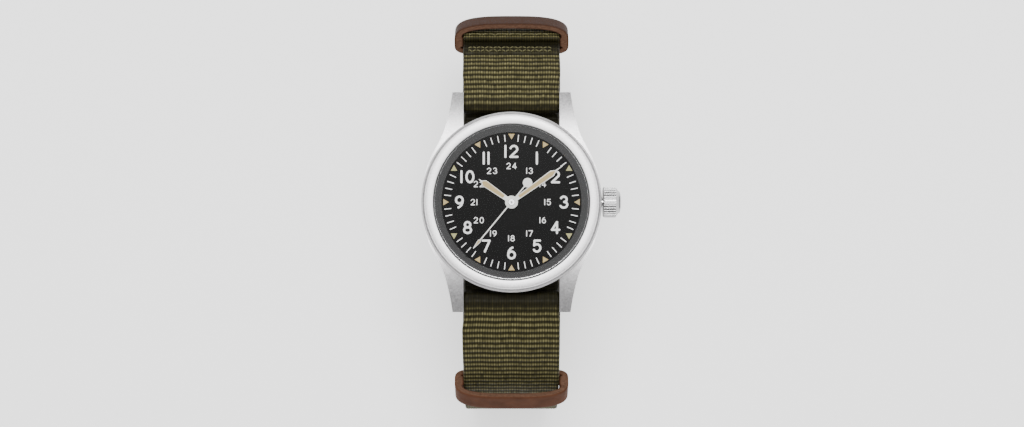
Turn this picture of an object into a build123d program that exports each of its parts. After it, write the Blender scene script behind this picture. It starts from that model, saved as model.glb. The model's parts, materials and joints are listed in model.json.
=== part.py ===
from build123d import *
import os
from math import asin, atan2, cos, degrees, hypot, pi, radians, sin

# Hand-wound field wristwatch on a pass-through webbing strap, closed around an empty wrist space.
# Millimetres.  +Z is out of the dial, +Y points to 12 o'clock and +X to 3 o'clock.
# The origin is on the axis of the hands, on the surface that the closed strap stands on.
# Heights called "height" or h0/h1 are measured from the outer face of the case back, towards the dial.

# ---------------------------------------------------------------- driving dimensions
BACK_Z = 54.0                 # case back's outer face above the table

# case
CASE_R = 19.0
CASE_TOP = 7.0
BEZEL_TOP = 8.6
BEZEL_R = 18.85
BEZEL_FACE_R = 18.2           # outer edge of the bezel's flat top
BEZEL_BORE_R = 16.45
CRYSTAL_R = 16.15
DIAL_R = 15.2
DIAL_OPENING_R = 14.75
LUG_TIP_Y = 23.3
LUG_GAP = 20.3                # between the lugs, across
BACK_COVER_R = 16.2

# spring bars
BAR_Y = 21.0
BAR_HEIGHT = 2.2
BAR_R = 0.85
BAR_TUBE_HALF = 8.3
TIP_R = 0.4
TIP_START = 7.2
TIP_FLANGE = 9.75             # inner face of the tip's flange; it can move in by 1.4
TIP_END = 11.5
SPRING_LONG = 11.52
RUNNING = 0.05                # radial clearance of a turning or sliding fit

# strap
STRAP_WIDTH = 20.0
STRAP_T = 1.2
LAYER = 1.3                   # from one strap layer to the next, middle to middle
MAIN_Z = 3.2                  # middle of the main layer where it runs flat at the bottom
REACH_12 = 39.0               # how far the main layer bulges towards 12 o'clock
LOOP_12_R = 28.18
REACH_6 = 46.8
LOOP_6_R = 39.3
LOOP_6_Z = 20.8
LOW_6_R = 17.3                # tighter bend at the bottom of the 6 o'clock side
UNDER_CASE_HEIGHT = -0.75     # middle of the strap layer that touches the case back
SEAM_ANGLE = 38.2             # where the flap is sewn on, around the 12 o'clock bend
TAIL_TIP_ANGLE = 33.4
FIRST_HOLE_Y = -10.35         # the hole that the buckle's tongue goes through
HOLE_PITCH = 6.5
HOLE_LENGTH = 4.5
HOLE_WIDTH = 2.3

# keepers
KEEPER_WIDE = 24.3
KEEPER_HIGH = 6.4
KEEPER_LONG = 5.5
KEEPER_ARCH = 0.5             # how far a loop keeper's outer side bows out in the middle
KEEPER_CORNER_R = 2.4
KEEPER_HOLE_R = 1.3
KEEPER_BEVEL = 1.6             # a flat keeper is creased at its corners instead of rounded
KEEPER_HOLE_BEVEL = 0.95
LEATHER_T = 1.1
KEEPER_BUCKLE_Y = 2.4         # the closed strap stands on this keeper and on the buckle's far bar
KEEPER_FREE_ANGLE = 26.0      # around the 12 o'clock bend, up from level
KEEPER_FLAP_ANGLE = 33.0      # around the 6 o'clock bend, up from level
FLAP_FOLD_BELOW = 4.6         # degrees from the flap keeper down to the flap's folded end
FLAP_FOLD_R = 1.4

# buckle
HINGE_Y = -7.5
HINGE_R = 0.7
FAR_BAR_Y = -19.5
ARM_IN = 10.35
ARM_OUT = 12.35
TONGUE_T = 0.8
TONGUE_W = 1.6

# crown and stem
STEM_HEIGHT = 3.4
CROWN_START = 19.35
CROWN_END = 23.25
CROWN_R = 3.23
CROWN_FLUTES = 34

# hands, clockwise from 12 o'clock
HOUR_AT = 305.0
MINUTE_AT = 54.6
SECOND_AT = 219.6
HOUR_LONG = 8.4
MINUTE_LONG = 13.2
SECOND_LONG = 12.65

# movement
PLATE_R = 12.8
BARREL_AT = (5.88, 67.26)     # distance and direction from the centre
THIRD_AT = (3.24, 150.0)
ESCAPE_AT = (2.86, -60.0)
PALLET_AT = (5.2, -60.0)
BALANCE_AT = (8.2, -60.0)
MINUTE_WHEEL_AT = (3.12, -25.0)
CROWN_WHEEL_AT = (6.7, 0.0)

# tooth shape: addendum, dedendum in modules; share of the pitch at root and tip
WHEEL_TOOTH = (0.7, 1.2, 0.5, 0.2)
LEAF_TOOTH = (0.5, 1.3, 0.5, 0.22)


# ---------------------------------------------------------------- helpers
def at(height):
    return BACK_Z + height


def polar(place):
    distance, direction = place
    return distance * cos(radians(direction)), distance * sin(radians(direction))


def direction_between(first, second):
    return degrees(atan2(second[1] - first[1], second[0] - first[0]))


def block(x0, x1, y0, y1, z0, z1):
    return Pos((x0 + x1) / 2, (y0 + y1) / 2, (z0 + z1) / 2) * Box(x1 - x0, y1 - y0, z1 - z0)


def rod(radius, h0, h1, spot=(0, 0)):
    return Pos(spot[0], spot[1], at((h0 + h1) / 2)) * Cylinder(radius, h1 - h0)


def ring(outer, inner, h0, h1, spot=(0, 0)):
    return rod(outer, h0, h1, spot) - rod(inner, h0, h1, spot)


def lying_rod(radius, x0, x1, y, z):
    """A cylinder along X."""
    return Pos((x0 + x1) / 2, y, z) * Rot(0, 90, 0) * Cylinder(radius, x1 - x0)


def flat(points, h0, h1):
    """A plate with straight edges, lying level."""
    face = make_face(Polyline(*[(x, y) for x, y in points], close=True))
    return Pos(0, 0, at(h0)) * extrude(face, amount=h1 - h0, dir=(0, 0, 1))


def lathe(corners):
    """A turned part from (radius, height) corners."""
    face = make_face(Polyline(*[(r, 0, at(h)) for r, h in corners], close=True))
    return revolve(face, Axis.Z)


def turned_on_stem(corners):
    """A part turned about the stem's axis, from (x, radius) corners."""
    face = make_face(Polyline(*[(x, 0, r) for x, r in corners], close=True))
    return Pos(0, 0, at(STEM_HEIGHT)) * revolve(face, Axis.X)


def tooth_outline(teeth, module, shape, phase):
    add, ded, root_share, tip_share = shape
    tip = module * (teeth / 2 + add)
    root = module * (teeth / 2 - ded)
    corners = []
    for tooth in range(teeth):
        middle = radians(phase) + 2 * pi * tooth / teeth
        for radius, share in ((root, -root_share), (tip, -tip_share), (tip, tip_share), (root, root_share)):
            angle = middle + share * pi / teeth
            corners.append((radius * cos(angle), radius * sin(angle)))
    return corners


def gear(teeth, module, h0, h1, spot=(0, 0), phase=0.0, shape=WHEEL_TOOTH):
    return Pos(spot[0], spot[1], 0) * flat(tooth_outline(teeth, module, shape, phase), h0, h1)


def pinion(teeth, module, h0, h1, spot=(0, 0), phase=0.0):
    return gear(teeth, module, h0, h1, spot, phase, LEAF_TOOTH)


def facing_gap(direction, teeth):
    """Phase of a gear whose gap looks back along the direction from its partner."""
    return direction + 180 + 180 / teeth


def windows(inner, outer, arms, arm_width, h0, h1, spot=(0, 0), turn=0.0):
    """The spaces between the arms of a wheel."""
    space = ring(outer, inner, h0, h1)
    for arm in range(arms):
        bar = block(0, outer + 1, -arm_width / 2, arm_width / 2, at(h0), at(h1))
        space -= Rot(0, 0, turn + 360 * arm / arms) * bar
    return Pos(spot[0], spot[1], 0) * space


def spiral(inner, outer, turns, thickness, h0, h1, spot=(0, 0)):
    steps = 30 * turns
    edges = {}
    for side in (-0.5, 0.5):
        line = []
        for step in range(steps + 1):
            radius = inner + (outer - inner) * step / steps + side * thickness
            angle = 2 * pi * turns * step / steps
            line.append((radius * cos(angle), radius * sin(angle)))
        edges[side] = line
    return Pos(spot[0], spot[1], 0) * flat(edges[-0.5] + edges[0.5][::-1], h0, h1)


def clockwise(angle):
    """Turn a hand from 12 o'clock to its place on the dial."""
    return Rot(0, 0, -angle)


# ---------------------------------------------------------------- strap routes
# A route is a list of stops (y, z, radius).  The strap runs round each stop like a belt round a pulley,
# to the left of its travel where the radius is positive and to the right where it is negative.
def belt(stops, shift=0.0):
    """Runs and arcs of a route moved sideways to its left by shift."""
    stops = [(y, z, radius - shift) for y, z, radius in stops]
    headings = []
    for (y0, z0, r0), (y1, z1, r1) in zip(stops, stops[1:]):
        span = hypot(y1 - y0, z1 - z0)
        lean = asin(max(-1.0, min(1.0, (r1 - r0) / span)))
        headings.append(atan2(z1 - z0, y1 - y0) - lean)

    def touch(stop, heading):
        y, z, radius = stop
        return y + radius * sin(heading), z - radius * cos(heading)

    pieces = []
    last = touch(stops[0], headings[0])
    for number, heading in enumerate(headings):
        arrive = touch(stops[number + 1], heading)
        if hypot(arrive[0] - last[0], arrive[1] - last[1]) > 0.001:
            pieces.append((last, arrive))
        last = arrive
        if number + 1 < len(headings):
            stop = stops[number + 1]
            turn = (headings[number + 1] - heading) % (2 * pi)
            if stop[2] < 0:
                turn -= 2 * pi
            last = touch(stop, heading + turn)
            pieces.append((arrive, touch(stop, heading + turn / 2), last))
    return pieces


def ribbon(stops, width=STRAP_WIDTH, thickness=STRAP_T):
    """A band of webbing that follows a route."""
    left = belt(stops, thickness / 2)
    right = belt(stops, -thickness / 2)
    edges = []
    for piece in left + right + [(left[0][0], right[0][0]), (left[-1][-1], right[-1][-1])]:
        corners = [(0, y, z) for y, z in piece]
        edges.append(Line(*corners) if len(corners) == 2 else ThreePointArc(*corners))
    face = make_face(edges)
    return Pos(-width / 2, 0, 0) * extrude(face, amount=width, dir=(1, 0, 0))


CENTRE_12 = (REACH_12 - LOOP_12_R, MAIN_Z + LOOP_12_R)
CENTRE_6 = (LOOP_6_R - REACH_6, LOOP_6_Z)
BAR_Z = at(BAR_HEIGHT)
BAR_WRAP = BAR_R + 0.15 + STRAP_T / 2
HINGE_WRAP = HINGE_R + 0.1 + STRAP_T / 2
HINGE_Z = MAIN_Z + HINGE_WRAP
UNDER_R = 2.0                 # bend between the spring bar and the case back
UNDER_Y = BAR_Y - BAR_WRAP - UNDER_R
UNDER_Z = at(UNDER_CASE_HEIGHT)
FLAP_Z = UNDER_Z - LAYER
FLAP_BEND = 8.0
TAIL_Z = MAIN_Z - LAYER


def on_12(angle, radius):
    return CENTRE_12[0] + radius * cos(radians(angle)), CENTRE_12[1] + radius * sin(radians(angle))


def on_6(angle, radius, along=0.0):
    """A place on the 6 o'clock bend; along is measured down the strap from the angle."""
    across, up = cos(radians(angle)), sin(radians(angle))
    return CENTRE_6[0] - radius * across - along * up, CENTRE_6[1] + radius * up - along * across


def main_route():
    fold_end = on_12(SEAM_ANGLE - 1.2, LOOP_12_R - LAYER)
    tail_tip = on_12(TAIL_TIP_ANGLE, LOOP_12_R + LAYER)
    return [
        (*fold_end, 0),
        (*CENTRE_12, -(LOOP_12_R - LAYER)),
        (HINGE_Y + 4.3, MAIN_Z + LAYER + 2.0, -2.0),
        (HINGE_Y, HINGE_Z, HINGE_WRAP),
        (*CENTRE_12, LOOP_12_R),
        (BAR_Y, BAR_Z, BAR_WRAP),
        (UNDER_Y, UNDER_Z + UNDER_R, -UNDER_R),
        (-UNDER_Y, UNDER_Z + UNDER_R, -UNDER_R),
        (-BAR_Y, BAR_Z, BAR_WRAP),
        (*CENTRE_6, LOOP_6_R),
        (-29.6, 3.0 + LOW_6_R, LOW_6_R),
        (-9.0, TAIL_Z + 12.0, 12.0),
        (*CENTRE_12, LOOP_12_R + LAYER),
        (*tail_tip, 0),
    ]


def flap_route():
    start = on_12(SEAM_ANGLE - 0.6, LOOP_12_R - LAYER)
    fold = on_6(KEEPER_FLAP_ANGLE - FLAP_FOLD_BELOW, LOOP_6_R - LAYER - FLAP_FOLD_R)
    return [
        (*start, 0),
        (*CENTRE_12, LOOP_12_R - LAYER),
        flap_bend(CENTRE_12, LOOP_12_R, 1),
        flap_bend(CENTRE_6, LOOP_6_R, -1),
        (*CENTRE_6, LOOP_6_R - LAYER),
        (*fold, FLAP_FOLD_R),
        (*on_6(KEEPER_FLAP_ANGLE, 38.2, -3.1), 3.0),
        (*on_6(KEEPER_FLAP_ANGLE, 33.0, -6.6), -3.0),
        (*on_6(KEEPER_FLAP_ANGLE, 35.3, -10.0), 0),
    ]


def flap_bend(centre, loop_r, side):
    """Where the flap's level run turns down into a bend of the loop."""
    up = FLAP_Z - FLAP_BEND - centre[1]
    across = (loop_r - LAYER - FLAP_BEND + 0.005) ** 2 - up ** 2
    return centre[0] + side * across ** 0.5, FLAP_Z - FLAP_BEND, FLAP_BEND


def strap_hole(middle, angle):
    """A rounded slot through the webbing, along its length."""
    slot = SlotOverall(HOLE_LENGTH, HOLE_WIDTH)
    cutter = extrude(slot, amount=0.65 * STRAP_T, both=True)
    return Pos(0, *middle) * Rot(angle, 0, 0) * Rot(0, 0, 90) * cutter


# ---------------------------------------------------------------- strap, keepers and buckle
def strap_main():
    strap = ribbon(main_route())
    strap -= block(-1.15, 1.15, HINGE_Y - 2.6, HINGE_Y + 1.6, TAIL_Z + 0.65, HINGE_Z + 4)
    strap -= strap_hole((FIRST_HOLE_Y, TAIL_Z + 0.06), 0)
    for number in range(1, 8):
        run = FIRST_HOLE_Y + HOLE_PITCH * number
        if run < CENTRE_12[0]:
            strap -= strap_hole((run, TAIL_Z), 0)
        else:
            angle = degrees((run - CENTRE_12[0]) / (LOOP_12_R + LAYER))
            strap -= strap_hole(on_12(angle - 90, LOOP_12_R + LAYER), angle)
    return strap


def strap_flap():
    return ribbon(flap_route())


def bowed_bar(half_width, half_height, long, corner_r):
    """A bar along Y with rounded corners, whose top bows up."""
    bar = Box(2 * half_width, long, 2 * half_height)
    top = half_height + KEEPER_ARCH
    bow = ThreePointArc((-half_width, half_height), (0, top), (half_width, half_height))
    cap = make_face([bow, Line(bow @ 0, bow @ 1)])
    bar += Pos(0, long / 2, 0) * Rot(90, 0, 0) * extrude(cap, amount=long)
    return fillet(bar.edges().filter_by(Axis.Y), corner_r)


def bevelled_bar(half_width, half_height, long, bevel):
    """A bar along Y with flat sides and bevelled corners."""
    bar = Box(2 * half_width, long, 2 * half_height)
    return chamfer(bar.edges().filter_by(Axis.Y), bevel)


def keeper(y, z, angle):
    """A leather loop round the strap; its outer side bows."""
    half_width, half_height = KEEPER_WIDE / 2, KEEPER_HIGH / 2
    band = bowed_bar(half_width, half_height, KEEPER_LONG, KEEPER_CORNER_R)
    space = bowed_bar(half_width - LEATHER_T, half_height - LEATHER_T, KEEPER_LONG + 1, KEEPER_HOLE_R)
    return Pos(0, y, z) * Rot(angle, 0, 0) * (band - space)


def flat_keeper(y):
    """The leather loop beside the buckle, which lies flat on the table."""
    half_width, half_height = KEEPER_WIDE / 2, KEEPER_HIGH / 2
    band = bevelled_bar(half_width, half_height, KEEPER_LONG, KEEPER_BEVEL)
    space = bevelled_bar(half_width - LEATHER_T, half_height - LEATHER_T, KEEPER_LONG + 1, KEEPER_HOLE_BEVEL)
    return Pos(0, y, half_height) * (band - space)


def buckle_arm(side):
    inner, outer = sorted((side * ARM_IN, side * ARM_OUT))
    head = lying_rod(1.4, inner, outer, HINGE_Y, HINGE_Z)
    foot = lying_rod(0.9, inner, outer, FAR_BAR_Y, 0.9)
    lean = atan2(HINGE_Z - 0.9, HINGE_Y - FAR_BAR_Y)
    across = (-sin(lean), cos(lean))
    corners = []
    for (y, z), radius in (((HINGE_Y, HINGE_Z), 1.4), ((FAR_BAR_Y, 0.9), 0.9)):
        sides = (1, -1) if radius > 1 else (-1, 1)
        for sign in sides:
            corners.append((inner, y + sign * radius * across[0], z + sign * radius * across[1]))
    web = extrude(make_face(Polyline(*corners, close=True)), amount=outer - inner, dir=(1, 0, 0))
    return head + foot + web


def buckle_frame():
    bar = block(-ARM_OUT, ARM_OUT, FAR_BAR_Y - 1.1, FAR_BAR_Y + 1.1, 0, 1.8)
    bar = fillet(bar.edges().filter_by(Axis.X), 0.6)
    frame = bar + buckle_arm(-1) + buckle_arm(1)
    frame -= lying_rod(HINGE_R + RUNNING, -ARM_OUT - 1, ARM_OUT + 1, HINGE_Y, HINGE_Z)
    frame -= block(-1.1, 1.1, FAR_BAR_Y - 2, FAR_BAR_Y + 2, -1, 1.0)
    return frame


def buckle_bar():
    bar = lying_rod(HINGE_R, -ARM_OUT - 0.1, ARM_OUT + 0.1, HINGE_Y, HINGE_Z)
    return chamfer(bar.edges().filter_by(GeomType.CIRCLE), 0.15)


def buckle_tongue():
    """A strip with an eye round the hinge bar, bent to lie outside the strap on the far bar."""
    half = TONGUE_W / 2
    centre = [(HINGE_Y - 0.9, HINGE_Z - 0.7), (-12.3, 0.78), (FAR_BAR_Y - 1.2, 0.5)]
    strip = Polyline(*[(0, y, z) for y, z in centre])
    face = make_face(offset(strip, amount=TONGUE_T / 2, side=Side.BOTH))
    tongue = Pos(-half, 0, 0) * extrude(face, amount=TONGUE_W, dir=(1, 0, 0))
    tongue += lying_rod(1.3, -half, half, HINGE_Y, HINGE_Z)
    return tongue - lying_rod(HINGE_R + RUNNING, -half, half, HINGE_Y, HINGE_Z)


# ---------------------------------------------------------------- spring bars
def spring_bar(side):
    y = side * BAR_Y
    tube = lying_rod(BAR_R, -BAR_TUBE_HALF, BAR_TUBE_HALF, y, BAR_Z)
    return tube - lying_rod(TIP_R + RUNNING, -BAR_TUBE_HALF, BAR_TUBE_HALF, y, BAR_Z)


def spring_bar_tip(side, end):
    y = side * BAR_Y
    tip = lying_rod(TIP_R, TIP_START, TIP_END, y, BAR_Z)
    tip = chamfer(tip.edges().sort_by(Axis.X)[-1], 0.12)
    tip += lying_rod(0.7, TIP_FLANGE, TIP_FLANGE + 0.3, y, BAR_Z)
    return tip if end > 0 else mirror(tip, about=Plane.YZ)


def bar_springs():
    """Both helical springs of square wire, at the length they have while the tips are pressed in."""
    springs = []
    for side in (-1, 1):
        path = Helix(pitch=SPRING_LONG / 18, height=SPRING_LONG, radius=0.31)
        start = Plane(origin=path @ 0, z_dir=path % 0)
        wire = sweep(start * Rectangle(0.14, 0.14), path=path)
        springs.append(Pos(-SPRING_LONG / 2, side * BAR_Y, BAR_Z) * Rot(0, 90, 0) * wire)
    return Compound(children=springs)


# ---------------------------------------------------------------- case
def lug():
    """The lug at 1 o'clock, bored for its spring bar."""
    outer = Spline((18.75, 3.0), (17.05, 9.3), (14.75, 13.7), (13.35, 18.3), (12.5, LUG_TIP_Y),
                   tangents=((-0.16, 1), (-0.13, 1)))
    inside = LUG_GAP / 2
    edge = Polyline((12.5, LUG_TIP_Y), (inside, LUG_TIP_Y), (inside, 0.3), (18.75, 0.3), (18.75, 3.0))
    plan = Pos(0, 0, at(-1)) * extrude(make_face([outer, edge]), amount=8, dir=(0, 0, 1))
    top = ThreePointArc((0, 8.0, at(6.7)), (0, 17.0, at(5.85)), (0, LUG_TIP_Y, at(3.5)))
    under = ThreePointArc((0, LUG_TIP_Y, at(-0.2)), (0, 18.0, at(0.6)), (0, 8.0, at(1.5)))
    middle = Polyline(under @ 1, (0, 0, at(2.5)), (0, 0, at(6.7)), top @ 0)
    side = [top, Line(top @ 1, under @ 0), under, middle]
    profile = extrude(make_face(side), amount=20, dir=(1, 0, 0))
    return plan & profile


def case_middle():
    body = lathe([
        (15.35, 1.5), (16.3, 1.5), (16.3, 0.6), (17.2, 0.6), (18.6, 1.5), (CASE_R, 2.5),
        (CASE_R, CASE_TOP - 0.25), (CASE_R - 0.25, CASE_TOP), (16.25, CASE_TOP), (16.25, 5.76), (15.35, 5.76),
    ])
    quarter = lug()
    room = rod(16.3, -2, 8)
    for turned in (quarter, mirror(quarter, about=Plane.YZ)):
        body += turned - room
        body += mirror(turned, about=Plane.XZ) - room
    for side in (-1, 1):
        y = side * BAR_Y
        gap = LUG_GAP / 2
        body -= lying_rod(2.5, -gap, gap, y, BAR_Z)
        body -= block(-gap, gap, *sorted((side * 18.5, side * 24)), at(-1), BAR_Z)
        body -= lying_rod(TIP_R + RUNNING, -TIP_END - 0.1, TIP_END + 0.1, y, BAR_Z)
    body -= lying_rod(1.11, 10, 20, 0, at(STEM_HEIGHT))
    return body


def bezel():
    return lathe([
        (BEZEL_BORE_R, 7.2), (15.95, 7.2), (15.95, 7.02), (BEZEL_R, 7.02), (BEZEL_R, 7.75),
        (BEZEL_FACE_R + 0.15, 8.1), (BEZEL_FACE_R + 0.15, BEZEL_TOP - 0.12), (BEZEL_FACE_R, BEZEL_TOP),
        (BEZEL_BORE_R + 0.08, BEZEL_TOP), (BEZEL_BORE_R, BEZEL_TOP - 0.08),
    ])


def crystal():
    """A disc with a flat underside and a slightly domed top."""
    disc = lathe([(0, 7.22), (CRYSTAL_R, 7.22), (CRYSTAL_R, 8.6), (CRYSTAL_R - 0.25, 8.85),
                  (CRYSTAL_R - 0.25, 9.6), (0, 9.6)])
    dome_r = 260.0
    return disc & (Pos(0, 0, at(9.35) - dome_r) * Sphere(dome_r))


def rehaut_ring():
    """The sloped ring between the dial and the crystal."""
    return lathe([(DIAL_OPENING_R, 5.78), (16.2, 5.78), (16.2, 6.98), (15.75, 6.98), (DIAL_OPENING_R, 5.95)])


def dial():
    plate = ring(DIAL_R, 0.97, 5.36, 5.72)
    for direction in (100, 280):
        plate += rod(0.35, 4.1, 5.4, polar((11.3, direction)))
    return plate


def case_back():
    cover = lathe([
        (0, 0), (14.2, 0), (14.4, 0.12), (BACK_COVER_R - 0.3, 0.12), (BACK_COVER_R, 0.4), (BACK_COVER_R, 1.1),
        (15.3, 1.1), (15.3, 2.1), (14.7, 2.1), (14.7, 0.9), (0, 0.9),
    ])
    for number in range(6):
        notch = block(14.9, 17, -1.1, 1.1, at(-0.5), at(0.55))
        cover -= Rot(0, 0, 60 * number + 30) * notch
    return cover


def crown():
    body = turned_on_stem([
        (CROWN_START, 1.0), (CROWN_START, CROWN_R - 0.25), (CROWN_START + 0.25, CROWN_R),
        (CROWN_END - 1.25, CROWN_R), (CROWN_END - 0.6, CROWN_R - 0.85), (CROWN_END - 0.35, CROWN_R - 1.0),
        (CROWN_END - 0.08, 1.3), (CROWN_END, 0),
        (21.25, 0), (21.25, 1.55), (CROWN_START + 0.15, 1.55), (CROWN_START + 0.15, 1.0),
    ])
    body -= turned_on_stem([(CROWN_START - 1, 0), (CROWN_START - 1, 1.2), (CROWN_START + 1, 1.2), (CROWN_START + 1, 0)])
    flute = Pos((CROWN_START + CROWN_END) / 2, 0, CROWN_R + 0.06) * Rot(0, 90, 0) * Cylinder(0.2, 6)
    cutters = [Rot(360 * number / CROWN_FLUTES, 0, 0) * flute for number in range(CROWN_FLUTES)]
    return body - Pos(0, 0, at(STEM_HEIGHT)) * Compound(children=cutters)


def crown_tube():
    return turned_on_stem([(16.4, 0.6), (20.6, 0.6), (20.6, 1.08), (16.4, 1.08)])


def crown_gasket():
    return turned_on_stem([(19.7, 1.1), (20.2, 1.1), (20.2, 1.5), (19.7, 1.5)])


def winding_stem():
    return turned_on_stem([
        (5.75, 0), (5.75, 0.2), (7.0, 0.2), (7.0, 0.4), (10.2, 0.4), (10.2, 0.25), (10.42, 0.25),
        (10.42, 0.42), (12.0, 0.42), (12.0, 0.5), (21.24, 0.5), (21.24, 0),
    ])


# ---------------------------------------------------------------- movement frame
def sector(inner, outer, start, end, h0, h1):
    """Part of a ring between two directions less than 180 degrees apart."""
    reach = 2 * outer
    wedge = [(0, 0), polar((reach, start)), polar((reach, (start + end) / 2)), polar((reach, end))]
    return ring(outer, inner, h0, h1) & flat(wedge, h0, h1)


SCREW_PLACES = [(11.95, 62), (11.95, 118), (11.95, 185), (11.95, 243), (11.75, -28)]
PIVOT_PLACES = [THIRD_AT, ESCAPE_AT, BALANCE_AT]


def screw_holes(piece):
    for place in SCREW_PLACES:
        piece -= rod(0.42, 1, 4.6, polar(place))
        piece -= rod(0.62, 1, 2.2, polar(place))
    return piece


def mainplate():
    plate = rod(PLATE_R, 3.9, 4.8) + ring(PLATE_R, 12.0, 4.7, 5.33)
    plate += block(5.4, 6.95, -0.6, 0.6, at(2.95), at(4.0))
    plate += rod(0.3, 4.7, 5.3, polar(MINUTE_WHEEL_AT))
    plate -= rod(5.3, 3, 4.5, polar(BARREL_AT))
    plate -= rod(0.55, 3, 5, polar(BARREL_AT))
    plate -= rod(0.42, 3, 5)
    plate -= lying_rod(0.25, 5, 7.1, 0, at(STEM_HEIGHT))
    plate -= block(7.05, 9.75, -1.5, 1.5, at(3.5), at(5.0))
    plate -= block(9.7, 13, -0.65, 0.65, at(3.5), at(4.1))
    for direction in (100, 280):
        plate -= rod(0.4, 3.8, 5.0, polar((11.3, direction)))
    for place in PIVOT_PLACES + [PALLET_AT]:
        plate -= rod(0.5, 3.8, 4.3, polar(place))
    return screw_holes(plate)


def movement_holder():
    holder = ring(15.1, PLATE_R + 0.05, 2.3, 5.3)
    return holder - block(12, 16, -1.3, 1.3, at(2), at(4.7))


def bridge_outline(corners, h0, h1):
    return rod(12.5, h0, h1) & flat(corners, h0, h1)


def barrel_bridge():
    edge = [(-13, 2.7), (1.3, 2.7), (3.3, -3.3), (13, -3.3), (13, 13), (-13, 13)]
    bridge = bridge_outline(edge, 1.95, 2.65) + sector(11.45, 12.5, 22, 158, 2.6, 3.88)
    bridge -= rod(0.55, 1, 3, polar(BARREL_AT))
    bridge -= rod(3.0, 1.9, 2.22, polar(CROWN_WHEEL_AT))
    bridge += ring(0.9, 0.42, 1.5, 2.3, polar(CROWN_WHEEL_AT))
    bridge -= rod(0.42, 1, 3, polar(CROWN_WHEEL_AT))
    bridge -= block(7.35, 9.6, -1.45, 1.45, at(1.9), at(2.8))
    bridge += rod(0.4, 1.5, 2.0, CLICK_PIVOT)
    return screw_holes(bridge)


def train_bridge():
    edge = [(-13, 2.5), (1.1, 2.5), (3.1, -3.5), (6, -13), (-13, -13)]
    bridge = bridge_outline(edge, 1.98, 2.55) + sector(11.45, 12.5, 172, 262, 2.5, 3.88)
    bridge -= rod(4.7, 1, 4, polar(BALANCE_AT))
    for place in [(0, 0), THIRD_AT, ESCAPE_AT]:
        bridge -= rod(0.5, 1.9, 2.6, polar(place))
    return screw_holes(bridge)


def balance_cock():
    foot, end = polar((11.75, -28)), polar(BALANCE_AT)
    turn = direction_between(end, foot)
    arm = Pos(end[0], end[1], 0) * Rot(0, 0, turn) * block(0, 6.2, -1.3, 1.3, at(1.95), at(2.4))
    cock = arm + rod(1.3, 1.95, 2.4, end) + sector(10.95, 12.5, -37, -19, 1.95, 3.88)
    cock += block(end[0] - 3.0, end[0] - 2.5, end[1] - 0.2, end[1] + 0.2, at(1.95), at(2.62))
    cock += block(end[0] - 2.9, end[0], end[1] - 0.3, end[1] + 0.3, at(1.95), at(2.2))
    cock -= rod(0.5, 1.9, 2.5, end)
    return screw_holes(cock)


def bridge_screws():
    screws = []
    for place in SCREW_PLACES:
        spot = polar(place)
        screw = rod(0.4, 2.15, 4.5, spot) + rod(0.6, 1.96, 2.19, spot)
        screws.append(screw - block(spot[0] - 0.6, spot[0] + 0.6, spot[1] - 0.07, spot[1] + 0.07, at(1.9), at(2.06)))
    spot = polar(CROWN_WHEEL_AT)
    cap = rod(0.4, 1.4, 2.5, spot) + rod(1.4, 1.3, 1.48, spot)
    screws.append(cap - block(spot[0] - 1.4, spot[0] + 1.4, spot[1] - 0.1, spot[1] + 0.1, at(1.25), at(1.38)))
    return Compound(children=screws)


def jewels():
    stones = [ring(0.48, 0.11, 2.0, 2.25, polar(place)) for place in (THIRD_AT, ESCAPE_AT)]
    stones.append(ring(0.48, 0.14, 2.0, 2.25))
    stones.append(ring(0.48, 0.11, 1.97, 2.25, polar(BALANCE_AT)))
    stones += [ring(0.48, 0.11, 3.95, 4.25, polar(place)) for place in PIVOT_PLACES + [PALLET_AT]]
    return Compound(children=stones)


# ---------------------------------------------------------------- power
def barrel_drum():
    spot = polar(BARREL_AT)
    toward = direction_between((0, 0), spot)
    drum = gear(72, 0.14, 3.45, 3.75, spot, facing_gap(toward, 72)) + rod(4.8, 3.45, 4.45, spot)
    drum -= rod(4.6, 3.62, 5, spot)
    return drum - rod(0.55, 3, 5, spot)


def barrel_cover():
    return ring(4.58, 0.55, 4.32, 4.45, polar(BARREL_AT))


def barrel_arbor():
    spot = polar(BARREL_AT)
    return rod(0.5, 1.55, 4.75, spot) + rod(1.0, 3.66, 4.28, spot)


def mainspring():
    return spiral(1.15, 4.5, 7, 0.12, 3.68, 4.26, polar(BARREL_AT))


def ratchet_wheel():
    spot = polar(BARREL_AT)
    from_crown_wheel = direction_between(polar(CROWN_WHEEL_AT), spot)
    wheel = gear(40, 0.2, 1.6, 1.85, spot, facing_gap(from_crown_wheel, 40))
    return wheel - rod(0.5, 1.5, 2, spot)


def ratchet_screw():
    spot = polar(BARREL_AT)
    head = rod(1.1, 1.34, 1.54, spot)
    return head - block(spot[0] - 1.2, spot[0] + 1.2, spot[1] - 0.1, spot[1] + 0.1, at(1.3), at(1.42))


def crown_wheel():
    """Spur teeth for the ratchet wheel, face teeth underneath for the winding pinion."""
    spot = polar(CROWN_WHEEL_AT)
    wheel = gear(30, 0.2, 1.6, 1.85, spot, direction_between(spot, polar(BARREL_AT)))
    for number in range(24):
        tooth = block(2.1, 2.7, -0.12, 0.12, at(1.8), at(2.05))
        wheel += Pos(spot[0], spot[1], 0) * Rot(0, 0, 15 * number + 7.5) * tooth
    return wheel - rod(0.95, 1.5, 2.2, spot)


CLICK_PIVOT = (-3.45, 6.4)


def click():
    """The pawl that holds the ratchet wheel."""
    px, py = CLICK_PIVOT
    body = flat([(px - 0.9, py + 0.6), (px + 0.6, py + 0.7), (px + 0.7, py - 0.6), (px + 1.47, py - 1.55),
                 (px + 1.2, py - 1.8), (px - 0.6, py - 0.9)], 1.6, 1.85)
    return body - rod(0.44, 1.5, 2.0, CLICK_PIVOT)


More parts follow.
